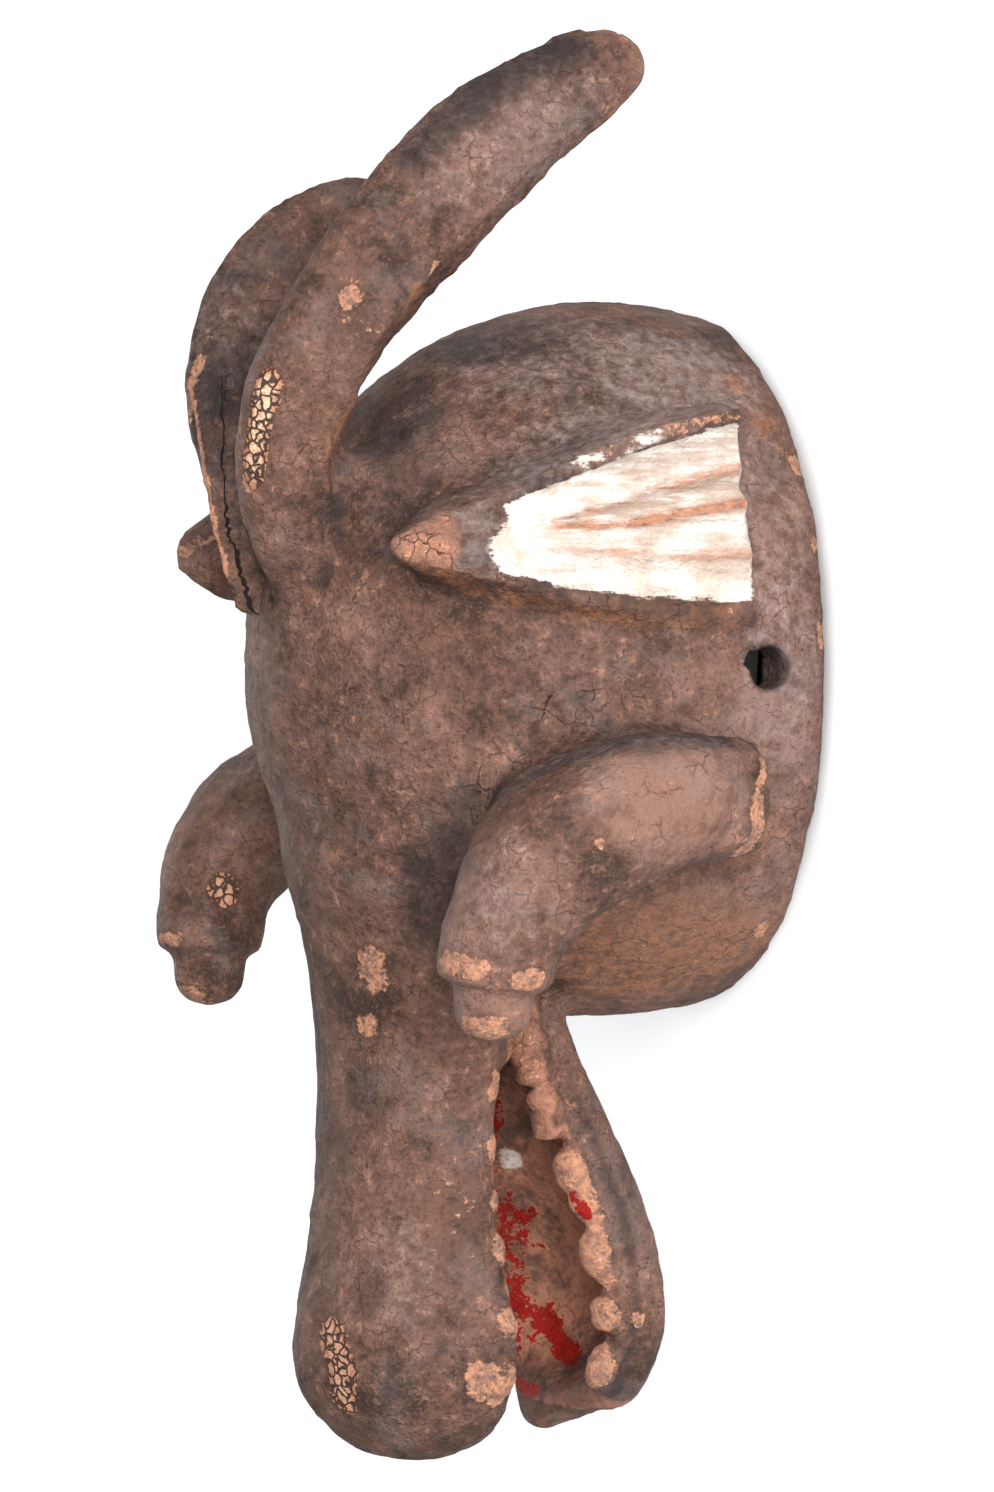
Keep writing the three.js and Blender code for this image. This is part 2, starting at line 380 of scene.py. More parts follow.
@dataclass
class Blank:
    """The block's form: the solid, remade as one fine even skin with its corners worn round."""

    voxel: float = 0.0016
    joined: float = 0.000001
    settling_rounds: int = 3
    corner_rounds: int = 44
    crease: float = 0.5
    hold: float = 0.85
    faces: int = 190000
    spare: str = "spare"
    steps: int = 10

    def remade(self) -> bpy.types.Object:
        """Copies the solid, joins its corners and remakes it as an even mesh.

        Returns:
            The new object, at the origin.
        """
        work = bmesh.new()
        work.from_mesh(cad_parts[NODE].data)
        bmesh.ops.remove_doubles(work, verts=work.verts, dist=self.joined)
        mesh = bpy.data.meshes.new("block")
        work.to_mesh(mesh)
        work.free()
        block = placed("block", mesh)
        remesh = block.modifiers.new("even", "REMESH")
        remesh.mode = "VOXEL"
        remesh.voxel_size = self.voxel
        return self.applied(block, "carving")

    def applied(self, piece: bpy.types.Object, name: str) -> bpy.types.Object:
        """Applies a piece's modifiers.

        Args:
            piece: the object, which is removed.
            name: the name of the new one.

        Returns:
            The object in its stead.
        """
        depsgraph = bpy.context.evaluated_depsgraph_get()
        mesh = bpy.data.meshes.new_from_object(piece.evaluated_get(depsgraph))
        mesh.name = name
        bpy.data.objects.remove(piece)
        return placed(name, mesh)

    def wear_round(self, skin: Skin, keep: np.ndarray) -> None:
        """Rounds the corners between the block's faces and keeps its real creases.

        Args:
            skin: the surface.
            keep: 1 where the form stays crisp.
        """
        skin.relax(np.ones(skin.count), self.settling_rounds)
        bend = np.linalg.norm(skin.smoothed(skin.around(skin.at) - skin.at, 2), axis=1)
        crisp = soft(skin.smoothed(bend, 4), 0.5 * self.crease, 1.5 * self.crease)
        skin.relax(1.0 - np.maximum(self.hold * crisp, keep), self.corner_rounds)

    def thinned(self, carving: bpy.types.Object, spare: np.ndarray) -> bpy.types.Object:
        """Joins faces where the surface can spare them.

        Args:
            carving: the finished piece.
            spare: 1 where faces may go first and 0 where none may.

        Returns:
            The lighter piece.
        """
        group = carving.vertex_groups.new(name=self.spare)
        steps = np.round(np.clip(spare, 0.0, 1.0) * self.steps).astype(int)
        for step in range(1, self.steps + 1):
            group.add(np.flatnonzero(steps == step).tolist(), step / self.steps, "REPLACE")
        thin = carving.modifiers.new("thin", "DECIMATE")
        thin.ratio = min(1.0, self.faces / triangles(carving))
        thin.vertex_group = self.spare
        lighter = self.applied(carving, "carving")
        lighter.vertex_groups.clear()
        return lighter


@dataclass(frozen=True)
class Lump:
    """Wood left standing over a spot, or cut away there where the height is negative."""

    spot: Spot | Stroke
    height: float

    def work(self, skin: Skin) -> None:
        """Moves the skin in or out."""
        skin.at += skin.normal * (self.height * self.spot.weight(skin.at))[:, None]

    def twin(self) -> "Lump":
        """Mirrors a lump over a spot to the other side."""
        across, *rest = self.spot.middle
        return replace(self, spot=replace(self.spot, middle=(-across, *rest)))


def lumps(*rows: Row) -> tuple[Lump, ...]:
    """Makes lumps of rows of middle, reach, height and edge; the last may be left out."""
    return tuple(Lump(Spot(row[:3], row[3:6], 1.0, *row[7:]), row[6]) for row in rows)


@dataclass(frozen=True)
class Flat:
    """A flat cut: what faces one way within a region is brought onto a plane."""

    region: Spot
    place: Triple
    toward: Triple
    facing: Edge = (0.15, 0.5)

    def work(self, skin: Skin) -> None:
        """Presses the skin onto the plane.

        Args:
            skin: the surface.
        """
        way = np.array(self.toward) / np.linalg.norm(self.toward)
        facing = soft(skin.normal @ way, *self.facing)
        step = (np.array(self.place) - skin.at) @ way
        skin.at += (step * facing * self.region.weight(skin.at))[:, None] * way


@dataclass(frozen=True)
class Crest:
    """A thin blade of wood that stands along a line; the last number of each row is its half width."""

    rows: Table
    steep: float = 3.0
    foot: Edge = (30.0, 20.0)
    flank: Edge = (2.4, 1.6)

    def work(self, skin: Skin) -> None:
        """Draws the skin up to the blade.

        Args:
            skin: the surface.
        """
        rows = np.array(self.rows)
        plan = np.array([1.0, 1.0, 0.0])
        share, step, _ = Line(tuple(map(tuple, rows[:, :3] * plan))).nearest(skin.at * plan)
        counts = np.arange(len(rows))
        top = np.interp(share, counts, rows[:, 2])
        half = np.interp(share, counts, rows[:, 3])
        gone = np.linalg.norm(step, axis=1) / half
        lift = np.clip(top - self.steep * gone**2 - skin.at[:, 2], 0.0, None)
        lift *= soft(gone, *self.flank) * soft(skin.at[:, 2], top - self.foot[0], top - self.foot[1])
        skin.at[:, 2] += lift


@dataclass(frozen=True)
class Crack:
    """A drying crack along a line, with its lips a little open."""

    points: Table
    reach: float = 6.0
    depth: float = 1.3
    lips: Edge = (2.2, 0.4)
    ends: float = 0.01

    def work(self, skin: Skin) -> None:
        """Cuts the crack and notes how far to its left or right each place lies.

        Args:
            skin: the surface.
        """
        share, step, heading = Line(self.points).nearest(skin.at)
        gone = np.linalg.norm(step, axis=1)
        side = np.sign((step * np.cross(heading, skin.normal)).sum(axis=1))
        within = soft(gone, self.reach, 0.6 * self.reach)
        within *= (share > self.ends) & (share < len(self.points) - 1 - self.ends)
        skin.at -= skin.normal * (self.depth * soft(gone, *self.lips) * within)[:, None]
        skin.paint[Paint.CRACK_SIDE] = np.where(within > 0.0, side * gone, skin.paint[Paint.CRACK_SIDE])
        skin.lay(Paint.CRACK, within)


@dataclass(frozen=True)
class Facet:
    """A flat that the knife left along a limb.

    It faces by a turn in degrees from straight outwards to the limb's upper side, lies at a share
    of the limb's half-width and runs between two rows of the limb.
    """

    turn: float
    share: float
    start: float
    end: float


@dataclass
class Horn:
    """One horn: a blade swept back over the crown, with the flats and arrises of the knife."""

    side: int
    rows: Table
    facets: tuple[Facet, ...]
    fade: float = 0.7
    # How far out the skin no longer counts as the horn's own, in its half widths
    own: Edge = (1.45, 1.25)

    def cut(self, skin: Skin) -> None:
        """Presses each facet's flat into the horn.

        Args:
            skin: the surface.
        """
        table = np.array(self.rows)
        share, step, heading = Line(tuple(row[:3] for row in self.rows)).nearest(skin.at)
        counts = np.arange(len(table))
        broad_half = np.interp(share, counts, table[:, 3])
        thin_half = np.interp(share, counts, table[:, 4])
        thin = np.array([float(self.side), 0.0, 0.0]) - heading * (self.side * heading[:, :1])
        thin /= np.linalg.norm(thin, axis=1).clip(min=1e-6)[:, None]
        broad = np.cross(thin, heading)
        broad *= np.where(broad[:, 2:] < 0.0, -1.0, 1.0)
        on_thin = (step * thin).sum(axis=1) / thin_half
        on_broad = (step * broad).sum(axis=1) / broad_half
        own = soft(np.hypot(on_thin, on_broad), *self.own)
        for facet in self.facets:
            turn = math.radians(facet.turn)
            over = on_thin * math.cos(turn) + on_broad * math.sin(turn) - facet.share
            within = soft(share, facet.start - self.fade, facet.start)
            within *= soft(share, facet.end + self.fade, facet.end)
            push = -np.clip(over, 0.0, None) * own * within
            skin.at += (push * math.cos(turn) * thin_half)[:, None] * thin
            skin.at += (push * math.sin(turn) * broad_half)[:, None] * broad
        skin.normal = skin.normals()


@dataclass
class Ear:
    """One scooped ear: a wedge whose outer face is fluted from its foot towards its tip.

    The crests between the flutes are given as shares of the ear's width at three heights.
    """

    side: int
    rows: Table
    heights: Row = (40.0, 75.0, 108.0)
    crests: Table = ((0.08, 0.08, 0.08), (0.3, 0.33, 0.38), (0.47, 0.5, 0.46), (0.72, 0.69, 0.62),
                     (0.95, 0.95, 0.95))
    bare: Row = (0.9, 1.5, 0.75)
    # How much grey lies in each flute's hollow, part smear and part painted shade
    greys: Row = (0.75, 1.1, 0.45, 0.25)
    deep: float = 6.0
    level: float = 0.22
    rim: float = 2.4
    foot: float = 40.0
    top: float = 140.0
    spread: float = 0.2
    # Where the outer face ends: inwards, as it turns away, upwards, and over its two edges
    inwards: Edge = (-13.0, -8.0)
    facing: Edge = (0.25, 0.6)
    upwards: Edge = (176.0, 168.0)
    rearwards: Edge = (-0.16, -0.06)
    frontwards: Edge = (1.12, 1.0)
    # Where the clay ends: at the rear rim, at the front edge and under the tip
    clay_rear: Edge = (0.05, 0.13)
    clay_front: Edge = (0.98, 0.875)
    clay_top: Edge = (140.0, 123.0)
    tip: Edge = (138.0, 143.0)
    tip_looks: tuple[tuple[Paint, float], ...] = (
        (Paint.WORN, 0.3), (Paint.FLESH, 0.5), (Paint.PALE, 1.0), (Paint.CRAZE, 0.8),
    )

    def grid(self, skin: Skin) -> tuple[np.ndarray, np.ndarray, np.ndarray]:
        """Finds each place's share of the ear's width, its outer face and how much it is on it.

        Args:
            skin: the surface.

        Returns:
            The share from the rear edge to the front one, the outer face's distance across, and
            the weight of the ear's outer face.
        """
        table = np.array(self.rows).T
        across, forward, up = skin.at.T
        face, rear, front = (np.interp(up, table[0], row) for row in table[1:4])
        narrow = soft(up, self.foot, self.top)
        share = 0.5 + ((forward - rear) / (front - rear) - 0.5) * (1.0 + self.spread * narrow)
        near = soft(self.side * across - face, *self.inwards)
        facing = soft(self.side * skin.normal[:, 0], *self.facing)
        within = soft(up, self.foot - 9.0, self.foot - 3.0) * soft(up, *self.upwards)
        sides = soft(share, *self.rearwards) * soft(share, *self.frontwards)
        return share, face, near * facing * within * sides

    def edges(self, skin: Skin) -> list[np.ndarray]:
        """Gives the crests' shares of the width at each place's height."""
        return [np.interp(skin.at[:, 2], self.heights, crest) for crest in self.crests]

    def carve(self, skin: Skin) -> None:
        """Cuts the flutes into the outer face, with crests between them and a raised rear rim.

        Args:
            skin: the surface.
        """
        share, face, weight = self.grid(skin)
        up = skin.at[:, 2]
        edges = self.edges(skin)
        depth = np.zeros(skin.count)
        for start, end in zip(edges, edges[1:]):
            way = (share - start) / (end - start)
            bowl = 1.0 - np.abs(2.0 * way - 1.0) ** 1.6
            scooped = self.level + (1.0 - self.level) * bowl
            depth = np.where((way > 0.0) & (way < 1.0), scooped, depth)
        depth *= self.deep * soft(up, self.top + 4.0, self.top - 70.0)
        rim = soft(np.abs(share - 0.02), 0.09, 0.03) * soft(up, self.top + 6.0, self.foot + 20.0)
        target = self.side * (face - depth + self.rim * rim)
        skin.at[:, 0] += (target - skin.at[:, 0]) * weight * soft(up, 150.0, 135.0)
        skin.normal = skin.normals()

    def colour(self, skin: Skin, grain: Grain) -> None:
        """Lays white clay in the scoop, with brown showing on the crests, grey in the flutes that is part
        smear and part painted shade, and wears the tip.

        Args:
            skin: the surface.
            grain: noise for the streaks.
        """
        share, _, weight = self.grid(skin)
        up = skin.at[:, 2]
        edges = self.edges(skin)
        streak = grain.layers(skin.at * np.array([1.0, 1.0, 0.2]), 6.0, 3)
        blotch = grain.layers(skin.at, 9.0, 3)
        scoop = soft(share, *self.clay_rear) * soft(share + 0.02 * blotch, *self.clay_front)
        scoop *= soft(up + 5.0 * blotch + 14.0 * np.abs(share - 0.5), *self.clay_top)
        skin.lay(Paint.KAOLIN, weight * scoop)
        for crest, strength in zip(edges[1:4], self.bare):
            line = soft(np.abs(share + 0.012 * streak - crest), 0.055, 0.0)
            skin.lay(Paint.RIDGE, strength * weight * line * soft(up, 124.0, 96.0))
        # Grey in each flute's hollow: part smear, part painted shade
        for start, end, grey in zip(edges, edges[1:], self.greys):
            way = (share - start) / (end - start)
            flute = grey * soft(np.abs(way - 0.4), 0.62, 0.1) * soft(up, 128.0, 98.0)
            skin.lay(Paint.SMEAR, weight * flute * ((way > 0.0) & (way < 1.0)))
        tip = weight * soft(up - 5.0 * np.abs(2.0 * share - 1.0), *self.tip) * soft(up, 168.0, 162.0)
        for paint, strength in self.tip_looks:
            skin.lay(paint, strength * tip)
        band = weight * soft(up, 126.0, 134.0)
        skin.lay(Paint.ASH, band * (1.0 - tip))
        skin.lay(Paint.SOOT, 0.5 * band * soft(up, 148.0, 142.0) * soft(streak, -0.2, 0.5))
        rear = weight * soft(share, 0.12, 0.06) * soft(up, 138.0, 126.0)
        skin.lay(Paint.KAOLIN, 0.46 * rear * soft(blotch, 0.45, -0.25) * soft(up, 124.0, 100.0)
                 * soft(up, 46.0, 58.0))
        skin.lay(Paint.WORN, 0.55 * rear * soft(blotch, -0.3, 0.5))
        line = weight * soft(np.abs(share - 0.095), 0.04, 0.0) * soft(up, 132.0, 112.0)
        skin.lay(Paint.SOOT, np.maximum(0.8 * line, 0.8 * rear * soft(up + 12.0 * blotch, 92.0, 118.0)))
        skin.lay(Paint.SOOT, 0.9 * rear * soft(up + 6.0 * blotch, 62.0, 50.0))
        front = soft(share, 0.87, 0.94) * weight * soft(up, 140.0, 130.0)
        skin.lay(Paint.SOOT, 0.75 * front * soft(blotch, -0.6, 0.2))
        skin.lay(Paint.WORN, 0.3 * front * soft(blotch, 0.1, -0.5))


@dataclass
class Jaws:
    """The open jaws: what is left of the mouth's red, and the worn teeth along both lips."""

    # Forward, the lower lip's height and the jaws' half width; then forward and the palate's height
    lower: Table = (
        (120, 88, 36), (160, 75, 40), (200, 61, 44), (235, 54, 46), (262, 58, 43), (276, 62, 38),
    )
    palate: Table = (
        (100, 84), (130, 95), (205, 98), (286, 92),
    )
    knobs: tuple[Lump, ...] = lumps(
        (32.5, 140, 89, 9.5, 16, 11, 5, 0.35), (34, 162, 82.5, 7.5, 12.5, 10, 5, 0.35),
        (33, 152.5, 85, 10, 3.5, 10, -3.5), (36, 172.5, 79, 10, 3.5, 10, -3),
        (37, 185, 73.5, 9, 16, 10, 2.6, 0.5), (38, 200.5, 69, 8, 3.5, 9, -1.2),
        (39.5, 212, 66.5, 10.5, 13, 10, 3.2, 0.5), (40, 223.5, 64, 9, 3.5, 9, -2.6),
        (41, 232, 63, 8.5, 8, 9, 4, 0.4), (39, 241, 62, 9, 3.5, 9, -2.6),
        (37, 251, 63, 9, 9.5, 9, 3.4, 0.45), (27, 265, 64, 11, 7, 8, 1.8),
    )
    scallops: tuple[Lump, ...] = lumps(
        (41, 150, 104, 8, 9, 7, 1.8), (39, 172, 102, 8, 8, 7, 2), (39, 190, 101, 8, 7, 7, 1.8),
        (40, 207, 101, 8, 8, 7, 2), (44, 221, 101, 8, 4, 7, -2.2), (45, 232, 101, 8, 9, 7, 3),
        (46, 242, 101, 8, 3.5, 7, -2.6), (46, 252, 103, 8, 9, 8, 3),
    )
    rubbed: Marks = (
        Stroke(((35, 176, 76), (38, 200, 69), (38, 222, 64)), 27, 0.76),
        Stroke(((39, 226, 62), (37, 250, 62)), 20, 0.6),
        Stroke(((30, 262, 63), (0, 279, 61), (-22, 273, 61)), 7, 0.8),
    )
    polished: Marks = (
        Stroke(((32, 126, 91), (33, 146, 88)), 23, 1.2),
        Stroke(((34, 156, 84), (35, 170, 79)), 21, 1.2),
    )
    red: Marks = spots(
        (-34, 205, 58, 9, 52, 15, 0.6), (-34, 236, 58, 9, 16, 9, 0.7), (-30, 165, 66, 12, 20, 12, 0.6),
        (-28, 203, 54, 5, 6, 6, 0.75), (28, 172, 70, 5, 9, 9, 0.7),
    ) + (
        Stroke(((-28, 241, 48), (-20, 248, 46), (-9, 257, 45)), 15, 0.95),
        Stroke(((-34, 264, 59), (-24, 267, 59), (-14, 266, 59)), 12, 0.8),
        Stroke(((38, 189, 71), (40, 197, 68)), 7, 1.1),
        Stroke(((36, 226, 57), (37, 236, 57), (41, 240, 60)), 6, 1.1),
    )
    chalk: Spot = Spot((-27, 183, 62), (6, 7, 9), 0.72)
    seam: Stroke = Stroke((
        (40, 128, 82), (41, 150, 74), (41, 168, 66), (43.5, 192, 56),
        (45, 210, 52), (45.5, 228, 50), (44, 246, 52), (39, 262, 56),
    ), 8, 0.85)
    # Knobs forward of this place are rubbed bare, and a knob of this height is a whole tooth
    bared_from: float = 175.0
    full_knob: float = 3.2
    polish: tuple[tuple[Paint, float], ...] = ((Paint.FLESH, 1.0), (Paint.OCHRE, 0.9), (Paint.SOOT, 0.25))
    # Where the mouth ends: at its sides, at the chin and in the throat
    bed_sides: Edge = (-6.0, -10.0)
    roof_sides: Edge = (-5.0, -9.0)
    bed_front: Edge = (272.0, 266.0)
    roof_front: Edge = (276.0, 268.0)
    throat: Edge = (110.0, 122.0)

    def carve(self, skin: Skin) -> None:
        """Shapes the knobs and the notches between them, alike on both sides.

        Args:
            skin: the surface.
        """
        for lump in self.knobs + self.scallops:
            lump.work(skin)
            lump.twin().work(skin)
        skin.normal = skin.normals()

    def colour(self, skin: Skin, grain: Grain) -> None:
        """Lays the mouth's wash and its red, wears the teeth tan, and darkens the notches between them and
        the throat with painted shade.

        Args:
            skin: the surface.
            grain: noise for the patches.
        """
        across, forward, up = skin.at.T
        stations, lips, halves = np.array(self.lower).T
        lip = np.interp(forward, stations, lips)
        half = np.interp(forward, stations, halves)
        palate = np.interp(forward, *np.array(self.palate).T)
        reach = np.abs(across)
        throat = soft(forward, *self.throat)
        bed = soft(reach - half, *self.bed_sides) * soft(forward, *self.bed_front) * throat
        bed *= soft(up - lip, 5.0, 0.0) * soft(skin.normal[:, 2], -0.45, -0.15)
        roof = soft(reach - half, *self.roof_sides) * soft(forward, *self.roof_front) * throat
        roof *= soft(skin.normal[:, 2], -0.2, -0.6) * soft(up, palate + 10.0, palate + 5.0)
        roof *= soft(up - lip, 12.0, 22.0)
        mouth = np.maximum(bed, roof)
        skin.lay(Paint.FLESH, mouth)
        patch = grain.layers(skin.at, 20.0, 3)
        skin.lay(Paint.RED, roof * (0.3 + 0.4 * soft(patch, -0.4, 0.6)))
        skin.lay(Paint.RED, 0.56 * bed * soft(across, -14.0, -30.0) * soft(patch, -0.5, 0.5))
        lining = np.maximum(mouth, soft(up - lip, -12.0, -6.0))
        for spot in self.red:
            skin.lay(Paint.RED, spot.weight(skin.at) * lining)
        both = np.stack([reach, forward, up], axis=1)
        above = soft(up - lip, -8.0, -1.0) * soft(up, lip + 20.0, lip + 14.0)
        # Knobs that stand are worn tan; the notches between them get painted shade
        for knob in self.knobs:
            paint = Paint.WORN if knob.height > 0.0 else Paint.SOOT
            bared = 0.8 if knob.spot.middle[1] > self.bared_from else 0.3
            strength = min(abs(knob.height) / self.full_knob, 1.0) * bared
            skin.lay(paint, strength * np.clip(2.2 * knob.spot.weight(both), 0.0, 1.0) * above)
        for stroke in self.polished:
            for paint, strength in self.polish:
                skin.lay(paint, strength * stroke.weight(both) * above)
        for stroke in self.rubbed:
            skin.lay(Paint.WORN, stroke.weight(both) * above * (0.7 + 0.3 * soft(patch, -0.5, 0.5)))
            skin.lay(Paint.FLESH, stroke.weight(both) * above)
        lip_edge = soft(np.abs(up - palate - 6.0), 7.0, 3.0) * soft(reach - half, -12.0, -6.0)
        for scallop in self.scallops:
            if scallop.height > 0.0:
                skin.lay(Paint.WORN, 0.85 * scallop.spot.weight(skin.at) * lip_edge)
        # Painted shade, deepening towards the throat
        skin.lay(Paint.SOOT, mouth * soft(forward, 168.0, 118.0))
        skin.lay(Paint.SOOT, 0.9 * bed * soft(forward, 244.0, 262.0) * soft(across, 34.0, 20.0))
        skin.lay(Paint.KAOLIN, self.chalk.weight(skin.at))
        skin.dab(Paint.SOOT, (self.seam,))


@dataclass
class Surface:
    """The knife work and crust over the whole mask, the painted shade in its hollows and the wear on its
    edges.
    """

    seed: int = 11
    facets: int = 2600
    facet: float = 15.0
    facet_depth: float = 0.5
    # Sizes along the surface, and heights, of its lumps, its finer lumps and the chips
    lump: tuple[float, float] = (24.0, 0.6)
    fine: tuple[float, float] = (7.0, 0.34)
    chip: tuple[float, float] = (8.0, 1.5)
    # Where the noises of the finer lumps and the chips are read, away from that of the lumps
    fine_shift: float = 50.0
    chip_shift: float = 90.0
    # How deep a hollow lies where its painted shade begins and where it is full
    hollows: Edge = (0.4, 3.2)
    broad_edges: Edge = (1.2, 4.5)
    fine_edges: Edge = (0.25, 0.9)
    chipped: Edge = (0.35, 0.9)
    wide_rounds: int = 80
    close_rounds: int = 10

    def roughen(self, skin: Skin, grain: Grain, calm: np.ndarray) -> None:
        """Cuts shallow knife facets and raises the crust.

        Args:
            skin: the surface.
            grain: noise.
            calm: 1 where the surface stays smooth.
        """
        rng = np.random.default_rng(self.seed)
        picks = rng.choice(skin.count, self.facets, replace=False)
        tree = kdtree.KDTree(len(picks))
        for index, place in enumerate(skin.at[picks]):
            tree.insert(Vector(place), index)
        tree.balance()
        found = [tree.find_n(Vector(place), 2) for place in skin.at]
        near = np.array([hits[0][2] for hits in found])
        second = np.array([hits[1][2] for hits in found])
        ridge = np.clip(1.0 - (second - near) / (0.35 * self.facet), 0.0, 1.0)
        height = self.facet_depth * (ridge - 0.4)
        height += self.lump[1] * grain.layers(skin.at, self.lump[0], 2)
        height += self.fine[1] * grain.layers(skin.at + self.fine_shift, self.fine[0], 2)
        skin.raise_by(height * (1.0 - calm))

    def chip_edges(self, skin: Skin, grain: Grain) -> None:
        """Breaks small chips out of the edges and bares the wood in them.

        Args:
            skin: the surface.
            grain: noise for the places of the chips.
        """
        skin.normal = skin.normals()
        bend = ((skin.smoothed(skin.at, self.close_rounds) - skin.at) * skin.normal).sum(axis=1)
        sharp = soft(-bend, *self.chipped)
        chips = soft(grain.layers(skin.at + self.chip_shift, self.chip[0], 2), 0.35, 0.75) * sharp
        skin.raise_by(-self.chip[1] * chips)
        skin.lay(Paint.WORN, 0.5 * chips)

    def weather(self, skin: Skin) -> None:
        """Finds the hollows, which get painted shade, and the edges, where the crust is rubbed off.

        Args:
            skin: the surface.
        """
        wide = skin.smoothed(skin.at, self.wide_rounds) - skin.at
        close = skin.smoothed(skin.at, self.close_rounds) - skin.at
        bend_wide = (wide * skin.normal).sum(axis=1)
        bend_close = (close * skin.normal).sum(axis=1)
        edges = np.maximum(soft(-bend_wide, *self.broad_edges), soft(-bend_close, *self.fine_edges))
        # Painted shade in the hollows
        skin.lay(Paint.HOLLOW, soft(bend_wide, *self.hollows))
        skin.lay(Paint.EDGE, edges)


